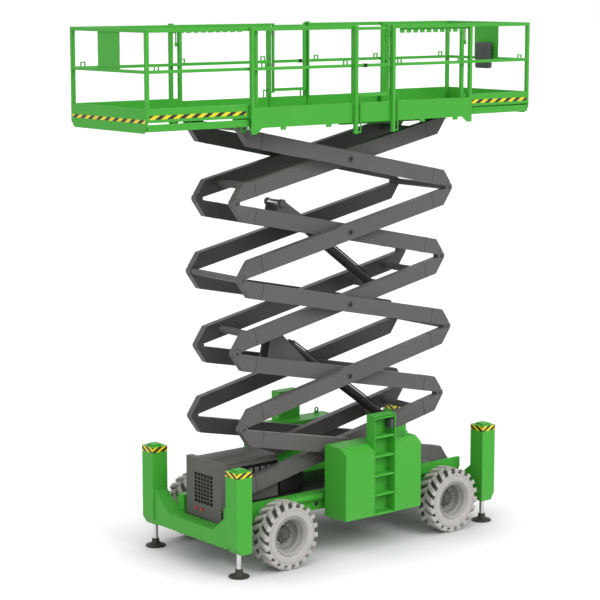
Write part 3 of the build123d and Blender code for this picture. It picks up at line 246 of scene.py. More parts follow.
def mesh_of(name, points, faces, body, material, replaced=(), sharp=35):
    """Object from arrays: doubles merged, faces turned outwards, smooth except at sharp edges."""
    mesh = bpy.data.meshes.new(name)
    mesh.from_pydata(points.tolist(), [], faces.tolist())
    work = bmesh.new()
    work.from_mesh(mesh)
    bmesh.ops.remove_doubles(work, verts=work.verts, dist=SAME_POINT)
    bmesh.ops.dissolve_degenerate(work, edges=work.edges, dist=NO_LENGTH)
    bmesh.ops.recalc_face_normals(work, faces=work.faces)
    work.to_mesh(mesh)
    work.free()
    mesh.polygons.foreach_set("use_smooth", np.ones(len(mesh.polygons), dtype=bool))
    mesh.set_sharp_from_angle(angle=np.radians(sharp))
    made = put(name, mesh, body, material)
    if replaced:
        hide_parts(*replaced)


def piece(name, grids, body, material, round_rows=False, round_columns=True, replaced=(), sharp=35):
    """One object from several grids of points."""
    points, faces, count = [], [], 0
    for grid in grids:
        points.append(grid.reshape(-1, 3))
        faces.append(quads(grid, round_rows, round_columns, count))
        count += len(points[-1])
    mesh_of(name, np.concatenate(points), np.concatenate(faces), body, material, replaced, sharp)


def prism(outline, low, high):
    """An outline of (x, z) points carried along Y from low to high, each end closed to its middle."""
    x, z = outline.T
    ring = np.stack([np.column_stack([x, np.full(len(outline), y), z]) for y in (low, high)])
    ends = [np.broadcast_to(row.mean(0), row.shape)[None] for row in ring]
    return np.concatenate([ends[0], ring, ends[1]])


slope = np.array((-CHAMFER_RUN, CHAMFER_RISE)) / np.hypot(CHAMFER_RUN, CHAMFER_RISE)
outwards = np.array((-slope[1], slope[0]))
run = np.array((CHAMFER_RUN - POST_HALF, POST_FOOT)) + np.outer((PLATE_START, PLATE_END), slope)
section = np.concatenate([run + PLATE_PROUD * outwards, (run - PLATE_SUNK * outwards)[::-1]])
plate_half = POST_HALF - PLATE_INSET
plates = [prism(section * (sign, 1), -plate_half, plate_half) + (CHASSIS_X - sign * POST_X, y, 0)
          for sign in (1, -1) for y in (POST_Y, -POST_Y)]
piece("housing_foot_plates", plates, "chassis", green)

# Legs and feet
# Ground jack rods in hard chrome, bright with faint turning marks.
# Each stands in a turned iron foot in black paint.
FOOT_LINE = np.array([(0, 0), (122, 0), (128, 5), (128, 15), (122, 21), (86, 31), (58, 46), (48, 64),
                      (46, 96), (42, 102), (33, 102), (32, 84), (0, 84)]) / 1000
FOOT_SIDES = 48
MARK_SIZE, DRAWN_OUT = 0.003, 1 / 20
CHROME_SMOOTH, CHROME_ROUGH = 0.14, 0.3


def turned(line, count, axis="y"):
    """Surface of revolution: (r cos a, r sin a, h) for count angles, with its axis rolled on to X or Y."""
    angle = np.linspace(0, 2 * np.pi, count, endpoint=False)[:, None]
    r, h = line[:, 0], line[:, 1]
    round_z = np.stack([r * np.cos(angle), r * np.sin(angle), h + 0 * angle], -1)
    return np.roll(round_z, {"z": 0, "x": 1, "y": 2}[axis], axis=-1)


def turned_piece(name, grids, body, material, replaced=()):
    """One object from grids whose rows close round an axis and whose columns are open lines."""
    piece(name, grids, body, material, round_rows=True, round_columns=False, replaced=replaced)


def chrome(name, scale):
    """Hard chrome: marks about 3 mm wide, drawn out 20 times where the scale is 1 / 20, vary the gloss."""
    material, tree, surface, place = blank(name, Metallic=1.0, Base_Color=srgb("#D3D4D4"))
    drawn = add(tree, "ShaderNodeMapping", {"Vector": place, "Scale": scale})
    marks = add(tree, "ShaderNodeTexNoise", {"Vector": drawn.outputs["Vector"], "Scale": 1 / MARK_SIZE,
                                             "Detail": 2.0})
    gloss = add(tree, "ShaderNodeMapRange", {"Value": marks.outputs["Fac"], "To Min": CHROME_SMOOTH,
                                             "To Max": CHROME_ROUGH})
    tree.links.new(gloss.outputs["Result"], surface.inputs["Roughness"])
    return material


# Hard chrome: a bright mirror that the turning marks blur in fine rings.
leg_chrome = chrome("hard_chrome_leg", (DRAWN_OUT, DRAWN_OUT, 1.0))
# Black paint on cast iron: near black and half matt, dusty at the floor.
iron = painted_steel("black_paint_on_cast_iron", "#2A2A29", "#1E1E1D", roughness=0.55, dust=0.18)
for post, place in POSTS.items():
    dress(leg_chrome, 0, f"{post}_leg")
    turned_piece(f"{post}_foot_pad", [turned(FOOT_LINE, FOOT_SIDES, "z") + (*place, 0)], f"{post}_outrigger",
                 iron, replaced=[f"{post}_foot"])

# Axles, knuckles and tie rod
# Forged and welded steel under the chassis in charcoal satin paint, bolted up to the beams.
# The tie rod and the slide blocks are bare turned and milled steel.
AXLE_EDGE, STREAK_SIZE, STEEL_SMOOTH, STEEL_ROUGH = 0.003, 0.002, 0.28, 0.48


def bare_steel(name):
    """Machined steel: short streaks of gloss about 2 mm wide."""
    material, tree, surface, place = blank(name, Metallic=1.0, Base_Color=srgb("#A3A4A5"))
    streaks = add(tree, "ShaderNodeTexNoise", {"Vector": place, "Scale": 1 / STREAK_SIZE, "Detail": 2.0})
    gloss = add(tree, "ShaderNodeMapRange", {"Value": streaks.outputs["Fac"], "To Min": STEEL_SMOOTH,
                                             "To Max": STEEL_ROUGH})
    tree.links.new(gloss.outputs["Result"], surface.inputs["Roughness"])
    return material


# Charcoal satin paint: dark grey with wide dull highlights under road dust.
charcoal = painted_steel("charcoal_satin_paint", "#4B4A48", "#403F3E", roughness=0.5, dust=0.5)
# Machined steel: grey metal whose gloss breaks up into fine streaks.
machined = bare_steel("machined_steel")
dress(charcoal, AXLE_EDGE, "rear_axle", "front_axle", "left_knuckle", "right_knuckle")
dress(machined, 0, "tie_rod", "lower_slide_blocks", "upper_slide_blocks")

# Tyres
# Light grey non-marking rubber, moulded with deep slanted bars that meet in a chevron and wrap the shoulder.
# A dark colour fills the grooves as painted shade between the bars, and a fine dark mould line in the same
# colour rings the outer sidewall.
WHEEL_R, HALF_BASE, WHEEL_Y = 0.420, 1.370, 0.915
BARS = 20
BAR_HALF, BAR_FLANK = 0.030, 0.004
BAR_LAP, BAR_START = -0.006, 0.002
BAR_SLOPE = np.tan(np.radians(33))
SIDEWALL = [(150, 310), (148, 276), (145, 262), (139, 256), (132, 250), (124, 234), (116, 214)]
CARCASS = np.array([(0, 378), (3, 378), (8, 378), (60, 378), (112, 378), (134, 374), (146, 362), (150, 345),
                    *SIDEWALL]) / 1000
BAR_TOPS = np.array([(0, 420), (3, 420), (8, 420), (60, 420), (120, 420), (145, 418), (150, 406), (150, 350),
                     *SIDEWALL]) / 1000
GROOVE_SHADE_LINE = np.array([(362, -145), (374, -139), (381, -128), (384, -110), (384, 110), (381, 128), (374, 139),
                      (362, 145), (360, 130), (360, -130)]) / 1000
MOULD_RING, MOULD_R = (0.338, 0.1500), 0.0014
GROOVE_SIDES, TREAD_SHARP = 80, 32
MOTTLE_SIZE, RUBBER_SMOOTH, RUBBER_ROUGH = 0.06, 0.62, 0.8
GRAIN_SIZE, GRAIN_STRENGTH, GRAIN_DEPTH = 0.004, 0.15, 0.002


def cut_corners(points, times):
    """Rounds an open line: each run keeps its points at one and three quarters, the ends stay."""
    for _ in range(times):
        first, last = points[:-1], points[1:]
        runs = np.stack([0.75 * first + 0.25 * last, 0.25 * first + 0.75 * last], 1)
        points = np.concatenate([points[:1], runs.reshape(-1, points.shape[1]), points[-1:]])
    return points


def step(low, high, x):
    """Smooth step 3 t^2 - 2 t^3, with t from 0 at low to 1 at high."""
    t = np.clip((x - low) / (high - low), 0, 1)
    return t * t * (3 - 2 * t)


def tyre_grid(side):
    """Point (r sin a, y, r cos a). The grid leans with the bars: a falls by the bar slope times |y| / R.
    Across a bar, the carcass moves to the bar tops by a step in the distance to the bar's middle line."""
    half, tops = cut_corners(CARCASS, 1), cut_corners(BAR_TOPS, 1)
    both = np.concatenate([half[::-1] * (-1, 1), half[1:]])
    high = np.concatenate([tops[::-1] * (-1, 1), tops[1:]])
    turn = 2 * np.pi * WHEEL_R / BARS
    edge, out = BAR_HALF, BAR_HALF + BAR_FLANK
    near_edge = edge + BAR_FLANK / 4
    bar = np.array((-out, -near_edge, -edge, -edge / 2, 0, edge / 2, edge, near_edge, out))
    along = np.sort(np.concatenate([bar % turn, (bar + turn / 2) % turn]))
    along = (np.arange(BARS)[:, None] * turn + along).ravel()
    y = both[:, 0][None, :]
    mask = np.zeros((len(along), len(both)))
    for half_sign, start in ((1, 0), (-1, turn / 2)):
        away = np.abs((along - start + turn / 2) % turn - turn / 2)[:, None]
        near = 1 - step(edge, out, away)
        mask = np.maximum(mask, near * step(BAR_LAP, BAR_START, half_sign * side * y))
    ring = both[None] + mask[..., None] * (high - both)[None]
    angle = along[:, None] / WHEEL_R - BAR_SLOPE * np.abs(y) / WHEEL_R
    return np.stack([ring[..., 1] * np.sin(angle), ring[..., 0], ring[..., 1] * np.cos(angle)], -1)


def rubber(name, colour, shade):
    """Moulded rubber: matt, mottled every 60 mm or so, with fine grain drawn at 4 mm so that it shows."""
    material, tree, surface, place = blank(name, IOR=1.52)
    mottle = add(tree, "ShaderNodeTexNoise", {"Vector": place, "Scale": 1 / MOTTLE_SIZE, "Detail": 5.0})
    mixed = add(tree, "ShaderNodeMix", {"Factor": mottle.outputs["Fac"], "A": srgb(colour), "B": srgb(shade)},
                data_type="RGBA")
    tree.links.new(mixed.outputs["Result"], surface.inputs["Base Color"])
    matt = add(tree, "ShaderNodeMapRange", {"Value": mottle.outputs["Fac"], "To Min": RUBBER_SMOOTH,
                                            "To Max": RUBBER_ROUGH})
    tree.links.new(matt.outputs["Result"], surface.inputs["Roughness"])
    grain = add(tree, "ShaderNodeTexNoise", {"Vector": place, "Scale": 1 / GRAIN_SIZE, "Detail": 2.0})
    bump = add(tree, "ShaderNodeBump", {"Height": grain.outputs["Fac"], "Strength": GRAIN_STRENGTH,
                                        "Distance": GRAIN_DEPTH})
    tree.links.new(bump.outputs["Normal"], surface.inputs["Normal"])
    return material


# Non-marking rubber: light grey, matt and mottled.
tread = rubber("non_marking_grey_rubber", "#BBB8B4", "#A6A39E")
# Painted shade: a dark, dull colour laid in the grooves, so that they look deep and shaded between the bars.
groove_shade_and_mould_line = rubber("painted_shade_in_grooves_and_mould_line", "#4B4845", "#383633")
WHEELS = [(f"{end}_{side}", np.array((x + CHASSIS_X, sign * WHEEL_Y, WHEEL_R)), sign)
          for end, x in (("rear", -HALF_BASE), ("front", HALF_BASE))
          for side, sign in (("left", 1), ("right", -1))]
mould_line = np.array(MOULD_RING) + MOULD_R * np.array([(1, 0), (0, 1), (-1, 0), (0, -1)])
for wheel, centre, sign in WHEELS:
    piece(f"{wheel}_tyre_tread", [tyre_grid(sign) + centre], f"{wheel}_wheel", tread, round_rows=True,
          round_columns=False, replaced=[f"{wheel}_tyre"], sharp=TREAD_SHARP)
    # The dark fill in the grooves is painted shade.
    dark = [turned(GROOVE_SHADE_LINE, GROOVE_SIDES), turned(mould_line, GROOVE_SIDES) * (1, sign, 1)]
    piece(f"{wheel}_tyre_grooves", [grid + centre for grid in dark], f"{wheel}_wheel", groove_shade_and_mould_line,
          round_rows=True)

# Rims and hubs
# Pressed steel rims in light grey paint, dished deep, with a curled flange and a disc welded in.
# Dark painted hubs stand in the middle, and hex nuts hold the discs on them.
DISC_LINE = np.array([(90, -41), (146, -41), (166, -34), (182, 0), (187, 30), (190, 28), (186, -10),
                      (176, -46), (160, -57), (90, -57)]) / 1000
RIM_LINE = np.array([(184, -60), (186, 20), (188, 44), (199, 56), (205, 92), (214, 108), (230, 116),
                     (241, 126), (244, 139), (238, 145), (231, 139), (222, 126), (206, 112), (202, 40),
                     (202, -100), (210, -114), (234, -124), (244, -139), (236, -145), (224, -130),
                     (198, -116)]) / 1000
HUB_LINE = np.array([(0, 18), (52, 18), (60, 12), (64, 2), (92, 0), (100, -8), (100, -52), (0, -52)]) / 1000
NUT_LINE = np.array([(0, 16), (10, 16), (16, 12), (16, -4)]) / 1000
NUTS, NUT_CIRCLE, NUT_SEAT = 10, 0.122, -0.041
RIM_SIDES, HUB_SIDES, HEX = 96, 64, 6

# Light grey paint: half gloss, dulled by dust in the dish.
rim_paint = painted_steel("light_grey_paint_on_pressed_steel", "#ABA9A6", "#9F9D9A", roughness=0.42,
                          dust=0.25)
# Mid grey paint: darker than the rim, as painted shade of the deep dish, so that the disc stands back from
# the rim.
disc_paint = painted_steel("mid_grey_paint_on_wheel_disc", "#8F8D8A", "#807E7B", roughness=0.5, dust=0.3)
rounded_rim = cut_corners(np.concatenate([RIM_LINE, RIM_LINE[:1]]), 2)
rounded_disc = cut_corners(np.concatenate([DISC_LINE, DISC_LINE[:1]]), 1)
rounded_hub = cut_corners(HUB_LINE, 1)
around = np.arange(NUTS) * 2 * np.pi / NUTS
nuts = [turned(NUT_LINE, HEX) + (NUT_CIRCLE * np.sin(a), NUT_SEAT, NUT_CIRCLE * np.cos(a)) for a in around]
for wheel, centre, sign in WHEELS:
    flip = np.array((1, sign, 1))
    body = f"{wheel}_wheel"
    turned_piece(f"{wheel}_dished_rim", [turned(rounded_rim, RIM_SIDES) * flip + centre], body, rim_paint,
                 replaced=[f"{wheel}_rim"])
    # The darker grey of the disc is painted shade of the dish.
    turned_piece(f"{wheel}_disc", [turned(rounded_disc, RIM_SIDES) * flip + centre], body, disc_paint)
    turned_piece(f"{wheel}_hub", [turned(rounded_hub, HUB_SIDES) * flip + centre], body, charcoal)
    turned_piece(f"{wheel}_nuts", [nut * flip + centre for nut in nuts], body, machined)

# Power pack
# Folded sheet hood over the batteries in grey satin paint, with louvres pressed along both sides.
# A barred opening with wire mesh behind it and two red lamps sit in the rear cowl.
PACK_EDGE, LAMP_EDGE = 0.006, 0.002
COWL_FACE, COWL_FRONT, HOOD_END = -1.930, -1.842, -0.970
PACK_HALF, PACK_TOP = 0.285, 1.230
GRILLE_HALF, GRILLE_MIDDLE = 0.189, 0.9025
GRILLE_LOW, GRILLE_TOP = GRILLE_MIDDLE - GRILLE_HALF, GRILLE_MIDDLE + GRILLE_HALF
BACKING_SET, BACKING_THICK, BACKING_EDGE = 0.0245, 0.002, 0.0005
MESH_SET, MESH_THICK, MESH_EDGE = 0.0030, 0.0008, 0.0003
COLUMNS, ROWS = 6, 8
GRILLE_BAR_HALF, GRILLE_BAR_PROUD, GRILLE_BAR_LAP, GRILLE_BAR_EDGE = 0.007, 0.0010, 0.004, 0.0012
LID_GAP, LID_RISE, LID_INSET, LID_EDGE = 0.022, 0.036, 0.002, 0.012
LOUVRES = 8
LOUVRE_LOW, LOUVRE_HIGH, MOUTH_HIGH, MOUTH_LAP = 1.035, 1.150, 1.186, 0.004
SCOOP_START, MOUTH_START, LOUVRE_END = 0.013, -0.009, 0.080
SCOOP_PROUD, SCOOP_EDGE, MOUTH_PROUD, MOUTH_EDGE = 0.011, 0.008, 0.008, 0.004
WIRE_SIZE, FACET_SIZE = 0.006, 0.008
CASE_GRAIN, CASE_STRENGTH, CASE_DEPTH = 0.006, 0.2, 0.001


def rounded_block(low, high, radius, steps=3):
    """Box with round edges: each octant's inner corner plus radius (cos b cos a, cos b sin a, sin b)."""
    low, high = np.array(low), np.array(high)
    centre, half = (low + high) / 2, (high - low) / 2
    quarter = np.linspace(0, np.pi / 2, steps)
    a = np.concatenate([quarter + k * np.pi / 2 for k in range(4)])[None, :]
    b = np.concatenate([quarter - np.pi / 2, quarter])[:, None]
    flat = np.ones_like(a * b)
    way = np.stack([np.cos(b) * np.cos(a), np.cos(b) * np.sin(a), np.sin(b) * flat], -1)
    octant = np.stack([flat * np.repeat((1, -1, -1, 1), steps), flat * np.repeat((1, 1, -1, -1), steps),
                       flat * np.repeat((-1, 1), steps)[:, None]], -1)
    shell = centre + octant * (half - radius) + radius * way
    poles = [np.broadcast_to(centre + (0, 0, z), (1, a.size, 3)) for z in (-half[2], half[2])]
    return np.concatenate([poles[0], shell, poles[1]])


# Grey satin paint: dark, with soft highlights along the folds.
pack_paint = painted_steel("grey_satin_paint_on_folded_sheet", "#62605D", "#585653", roughness=0.45)
dress(pack_paint, PACK_EDGE, "power_pack_cover")

# Moulded polypropylene: dull black with a fine moulded grain.
cell_case, tree, surface, place = blank("moulded_battery_cases", Roughness=0.6, Base_Color=srgb("#1C1C1E"))
mould = add(tree, "ShaderNodeTexNoise", {"Vector": place, "Scale": 1 / CASE_GRAIN, "Detail": 2.0})
relief = add(tree, "ShaderNodeBump", {"Height": mould.outputs["Fac"], "Strength": CASE_STRENGTH,
                                      "Distance": CASE_DEPTH})
tree.links.new(relief.outputs["Normal"], surface.inputs["Normal"])
dress(cell_case, PACK_EDGE, "battery_pack")

# Woven black wire: near black with almost no shine, so that it is also painted shade in the opening, its 6 mm
# weave just lighter and darker.
black_mesh_and_shade, tree, surface, place = blank("black_wire_mesh_and_painted_shade", Roughness=0.7, Specular_IOR_Level=0.1)
weave = add(tree, "ShaderNodeTexChecker", {"Vector": place, "Scale": 1 / WIRE_SIZE, "Color1": srgb("#0B0B0B"),
                                           "Color2": srgb("#161616")})
tree.links.new(weave.outputs["Color"], surface.inputs["Base Color"])
back, mesh_face = COWL_FACE + BACKING_SET, COWL_FACE + MESH_SET
backing = rounded_block((back - BACKING_THICK, -GRILLE_HALF, GRILLE_LOW), (back, GRILLE_HALF, GRILLE_TOP),
                        BACKING_EDGE, steps=4)
wire = rounded_block((mesh_face, -GRILLE_HALF, GRILLE_LOW), (mesh_face + MESH_THICK, GRILLE_HALF, GRILLE_TOP),
                     MESH_EDGE)
piece("grille_backing", [backing + SHIFT, wire + SHIFT], "chassis", black_mesh_and_shade)

bar_face, bar_reach = COWL_FACE - GRILLE_BAR_PROUD, GRILLE_HALF + GRILLE_BAR_LAP
columns = np.linspace(-GRILLE_HALF, GRILLE_HALF, COLUMNS + 1)[1:-1]
rows = np.linspace(GRILLE_LOW, GRILLE_TOP, ROWS + 1)[1:-1]
bars = [rounded_block((bar_face, y - GRILLE_BAR_HALF, GRILLE_LOW - GRILLE_BAR_LAP),
                      (mesh_face, y + GRILLE_BAR_HALF, GRILLE_TOP + GRILLE_BAR_LAP), GRILLE_BAR_EDGE)
        for y in columns]
bars += [rounded_block((bar_face, -bar_reach, z - GRILLE_BAR_HALF),
                       (mesh_face, bar_reach, z + GRILLE_BAR_HALF), GRILLE_BAR_EDGE) for z in rows]
piece("grille_bars", [bar + SHIFT for bar in bars], "chassis", pack_paint)

lid_half = PACK_HALF - LID_INSET
lid = rounded_block((COWL_FRONT + LID_GAP, -lid_half, PACK_TOP - LID_INSET),
                    (HOOD_END - LID_INSET, lid_half, PACK_TOP + LID_RISE), LID_EDGE, steps=4)
pitch = (HOOD_END - COWL_FRONT) / (LOUVRES + 1)
scoops, mouths = [], []
for start in COWL_FRONT + pitch * np.arange(1, LOUVRES + 1):
    for y in (PACK_HALF, -PACK_HALF):
        scoop = rounded_block((start + SCOOP_START, y - SCOOP_PROUD, LOUVRE_LOW),
                              (start + LOUVRE_END, y + SCOOP_PROUD, LOUVRE_HIGH), SCOOP_EDGE)
        mouth = rounded_block((start + MOUTH_START, y - MOUTH_PROUD, LOUVRE_HIGH - MOUTH_LAP),
                              (start + LOUVRE_END, y + MOUTH_PROUD, MOUTH_HIGH), MOUTH_EDGE)
        scoops.append(scoop + SHIFT)
        mouths.append(mouth + SHIFT)
piece("power_pack_lid_and_louvres", [lid + SHIFT], "chassis", pack_paint)
piece("power_pack_louvres", scoops, "chassis", pack_paint)
# The louvre mouths are dark blocks: painted shade in the openings above the louvres.
piece("power_pack_louvre_mouths", mouths, "chassis", black_mesh_and_shade)

# Clear red plastic over a moulded reflector: a deep red that breaks into small facets.
lens_red, tree, surface, place = blank("clear_red_plastic", Roughness=0.2, IOR=1.49, Specular_IOR_Level=0.25)
facets = add(tree, "ShaderNodeTexVoronoi", {"Vector": place, "Scale": 1 / FACET_SIZE})
tint = add(tree, "ShaderNodeMix", {"Factor": facets.outputs["Distance"], "A": srgb("#C31A1C"),
                                   "B": srgb("#8E0F12")}, data_type="RGBA")
tree.links.new(tint.outputs["Result"], surface.inputs["Base Color"])
dress(lens_red, LAMP_EDGE, "power_pack_lamps")

# Hydraulic unit
# Sheet tank and pump motor in black paint, and a machined valve block with solenoid coils.
# They are bolted on a folded pan between the beams, which also carries the batteries; the black of the pan
# and the parts is also painted shade under the scissor stack.
PAN_REAR, PAN_FRONT, PAN_HALF, PAN_EDGE = -1.585, 1.80, 0.418, 0.001
PAN_LOW, PAN_TOP = 0.7205, 0.7265
TANK_LOW, TANK_HIGH, TANK_EDGE = (-0.93, -0.27, PAN_TOP), (-0.53, 0.03, 0.970), 0.022
VALVE_LOW, VALVE_HIGH, VALVE_EDGE = (-0.51, 0.03, PAN_TOP), (-0.39, 0.21, 0.835), 0.004
MOTOR_LINE = np.array([(0, -150), (58, -150), (74, -136), (76, -120), (76, 90), (70, 96), (70, 120),
                       (52, 132), (52, 165), (0, 165)]) / 1000
MOTOR_PLACE, MOTOR_SIDES = (-0.73, 0.16, PAN_TOP + 0.078), 32
FILLER_LINE = np.array([(0, 26), (28, 26), (34, 20), (34, 0), (24, -8), (0, -8)]) / 1000
FILLER_PLACE, FILLER_SIDES = (-0.80, -0.12, TANK_HIGH[2]), 24
COIL_LINE = np.array([(0, 62), (8, 62), (9, 50), (17, 50), (19, 46), (19, 4), (12, 0), (12, -6),
                      (0, -6)]) / 1000
COILS_X, COILS_Y, COIL_SIDES = (-0.48, -0.42), (0.06, 0.12, 0.18), 16
# Black paint on sheet: a dark, even, half gloss surface, so near black that it is also painted shade under
# the scissor stack.
black_paint_and_shade = painted_steel("black_paint_on_sheet_and_painted_shade", "#242423", "#1B1B1A", roughness=0.45)
pan = rounded_block((PAN_REAR, -PAN_HALF, PAN_LOW), (PAN_FRONT, PAN_HALF, PAN_TOP), PAN_EDGE)
tank = rounded_block(TANK_LOW, TANK_HIGH, TANK_EDGE, steps=4)
piece("hydraulic_pan", [pan + SHIFT], "chassis", black_paint_and_shade)
piece("hydraulic_tank", [tank + SHIFT], "chassis", black_paint_and_shade)
round_parts = [turned(MOTOR_LINE, MOTOR_SIDES, "x") + MOTOR_PLACE,
               turned(FILLER_LINE, FILLER_SIDES, "z") + FILLER_PLACE]
round_parts += [turned(COIL_LINE, COIL_SIDES, "z") + (x, y, VALVE_HIGH[2]) for x in COILS_X for y in COILS_Y]
turned_piece("hydraulic_pump_and_coils", [part + SHIFT for part in round_parts], "chassis", black_paint_and_shade)
valve = rounded_block(VALVE_LOW, VALVE_HIGH, VALVE_EDGE)
piece("hydraulic_valve_block", [valve + SHIFT], "chassis", machined)

# Ladder socket and beam plugs
# A moulded plug socket, screwed inside the right ladder's top.
# Black plugs are pressed into the round holes of the chassis beams.
SOCKET_LOW, SOCKET_HIGH, SOCKET_EDGE = (0.268, -1.035, 1.545), (0.331, -0.930, 1.655), 0.008
PLUG_LINE = np.array([(0, 6), (22, 6), (30, 3), (31, -2), (0, -2)]) / 1000
PLUG_X, PLUG_Z, BEAM_OUT, PLUG_SIDES = -0.56, 0.600, 0.548, 24
PLASTIC_GRAIN, PLASTIC_STRENGTH, PLASTIC_DEPTH = 0.005, 0.2, 0.001
# Moulded plastic: dark grey and half matt, with a fine grain drawn at 5 mm so that it shows.
plastic, tree, surface, place = blank("moulded_dark_plastic", Roughness=0.5, IOR=1.5)
mould = add(tree, "ShaderNodeTexNoise", {"Vector": place, "Scale": 1 / PLASTIC_GRAIN, "Detail": 2.0})
tone = add(tree, "ShaderNodeMix", {"Factor": mould.outputs["Fac"], "A": srgb("#454647"),
                                   "B": srgb("#393A3B")}, data_type="RGBA")
tree.links.new(tone.outputs["Result"], surface.inputs["Base Color"])
relief = add(tree, "ShaderNodeBump", {"Height": mould.outputs["Fac"], "Strength": PLASTIC_STRENGTH,
                                      "Distance": PLASTIC_DEPTH})
tree.links.new(relief.outputs["Normal"], surface.inputs["Normal"])
socket_box = rounded_block(SOCKET_LOW, SOCKET_HIGH, SOCKET_EDGE, steps=4)
piece("ladder_socket", [socket_box + SHIFT], "chassis", plastic)
plugs = [turned(PLUG_LINE, PLUG_SIDES) * (1, sign, 1) + (PLUG_X + CHASSIS_X, sign * BEAM_OUT, PLUG_Z)
         for sign in (1, -1)]
turned_piece("beam_plugs", plugs, "chassis", iron)

# Scissor frames
# Rectangular steel tube arms with machined pin bosses, in dark grey satin paint.
# A weld bead runs round each arm where its end piece meets the tube.
LEVELS = 5
PIN_SPAN, REST_ANGLE, PIVOT_X, PIVOT_Z = 3.521, np.radians(15.2), -1.715 + CHASSIS_X, 0.803
ARM_HEIGHT, ARM_WIDTH, FOLD_GAP, ARM_EDGE = 0.200, 0.100, 0.012, 0.004
ARM_Y = {"inner": 0.380, "outer": 0.512}
HALF_SPAN = PIN_SPAN / 2
FOLD_ANGLE = np.arcsin((ARM_HEIGHT + FOLD_GAP) / PIN_SPAN)
TILT = REST_ANGLE - FOLD_ANGLE
CENTRE_X = PIVOT_X + HALF_SPAN * np.cos(REST_ANGLE)
LEVEL_RISE = PIN_SPAN * np.sin(REST_ANGLE)
WELD_U, WELD_HALF, WELD_PROUD, WELD_STEPS = 1.44, 0.006, 0.0025, 6
FRAMES = [(kind, level) for level in range(1, LEVELS + 1) for kind in ("inner", "outer")]


def weld_ring(u, y):
    """Half-round bead carried round the arm's rectangle: (u + w cos t, edge + h sin t) on each side."""
    t = np.linspace(0, np.pi, WELD_STEPS)
    swell = np.column_stack([WELD_HALF * np.cos(t), WELD_PROUD * np.sin(t)])
    corners = np.array([(-1, -1), (1, -1), (1, 1), (-1, 1)])
    out = corners[:, None, :] * (np.array((ARM_WIDTH, ARM_HEIGHT)) / 2 + swell[None, :, 1:])
    return np.stack([u + np.broadcast_to(swell[:, 0], out.shape[:2]), y + out[..., 0], out[..., 1]], -1)


def on_frame(grid, kind, level):
    """Point (u, y, v) of an arm to its place: turned by the tilt, mirrored if the arm falls, on its level."""
    rises = (level % 2 == 1) == (kind == "inner")
    u, y, v = grid[..., 0], grid[..., 1], grid[..., 2]
    along = u * np.cos(TILT) - v * np.sin(TILT)
    up = u * np.sin(TILT) + v * np.cos(TILT)
    middle = PIVOT_Z + (level - 0.5) * LEVEL_RISE
    return np.stack([CENTRE_X + (along if rises else -along), y, middle + up], -1)


# Dark grey satin paint: plain and even outside, with painted shade on the faces that look inwards.
arm_paint = painted_steel("dark_grey_satin_paint", "#636160", "#595756", roughness=0.42, inward_shade=0.45)
for kind, level in FRAMES:
    dress(arm_paint, ARM_EDGE, f"{kind}_frame_{level}")
    rings = [on_frame(weld_ring(u, y), kind, level)
             for u in (-WELD_U, WELD_U) for y in (-ARM_Y[kind], ARM_Y[kind])]
    turned_piece(f"{kind}_{level}_weld_beads", rings, f"{kind}_{level}", charcoal)

# Pin ends and bolts of the scissor frames
# Turned steel pin ends in the forks, and washers over the centre pins, painted charcoal.
# A black hex bolt holds each washer.
PIN_U, PIN_EDGE = HALF_SPAN * np.cos(FOLD_ANGLE), (ARM_HEIGHT + FOLD_GAP) / 2
PIN_COVER, PIN_SIDES = 0.008, 24
PIN_END_LINE = np.array([(0, 6), (20, 6), (25, 3), (26, -2), (0, -2)]) / 1000
WASHER_LINE = np.array([(0, 4), (32, 4), (34, 2), (34, -1), (0, -1)]) / 1000
BOLT_LINE = np.array([(0, 17), (17, 17), (22, 14), (22, 2), (0, 2)]) / 1000
for kind, level in FRAMES:
    parts, heads = [], []
    for sign in (1, -1):
        face = sign * (ARM_Y[kind] + ARM_WIDTH / 2)
        flip = (1, sign, 1)
        if level < LEVELS:
            nose = on_frame(np.array((PIN_U, face, PIN_EDGE)), kind, level)
            parts.append(turned(PIN_END_LINE, PIN_SIDES) * flip + nose)
        if kind == "outer":
            middle = on_frame(np.array((0, face + sign * PIN_COVER, 0)), kind, level)
            parts.append(turned(WASHER_LINE, PIN_SIDES) * flip + middle)
            heads.append(turned(BOLT_LINE, HEX) * flip + middle)
    if parts:
        turned_piece(f"{kind}_{level}_pin_ends", parts, f"{kind}_{level}", charcoal)
    if heads:
        turned_piece(f"{kind}_{level}_pin_bolts", heads, f"{kind}_{level}", iron)

# Lift cylinders
# Honed steel barrels in black satin paint, with ground rods in hard chrome.
# A bent steel feed pipe lies along each barrel and is brazed in at both ends.
BARREL_EDGE = 0.003
ROD_SHOWING, GLAND = 0.340, 0.055
SEATS = {"lower": (1, (0.604 * HALF_SPAN, -0.052), (0.54 * HALF_SPAN, 0.420)),
         "upper": (3, (0.486 * HALF_SPAN, -0.067), (0.4715 * HALF_SPAN, 0.220))}
PIPE_R, PIPE_OUT, PIPE_SUNK, PIPE_START, PIPE_BEND = 0.010, 0.078, 0.050, 0.17, 0.04


def tube(path, radius, sides=10):
    """Closed round tube on a path in a plane of X and Z: path + radius (cos a along Y + sin a across)."""
    along = np.gradient(path, axis=0)
    along /= np.linalg.norm(along, axis=1, keepdims=True)
    angle = np.linspace(0, 2 * np.pi, sides, endpoint=False)[:, None]
    across = np.cross(along, (0, 1, 0))[:, None, :]
    skin = path[:, None, :] + radius * (np.cos(angle) * np.array((0, 1, 0)) + np.sin(angle) * across)
    ends = [np.broadcast_to(path[k], (1, sides, 3)) for k in (0, -1)]
    return np.concatenate([ends[0], skin, ends[1]])


# Hard chrome: a bright mirror that the grinding marks blur in fine lines across the rod.
rod_chrome = chrome("hard_chrome_rod", (1.0, DRAWN_OUT, 1.0))
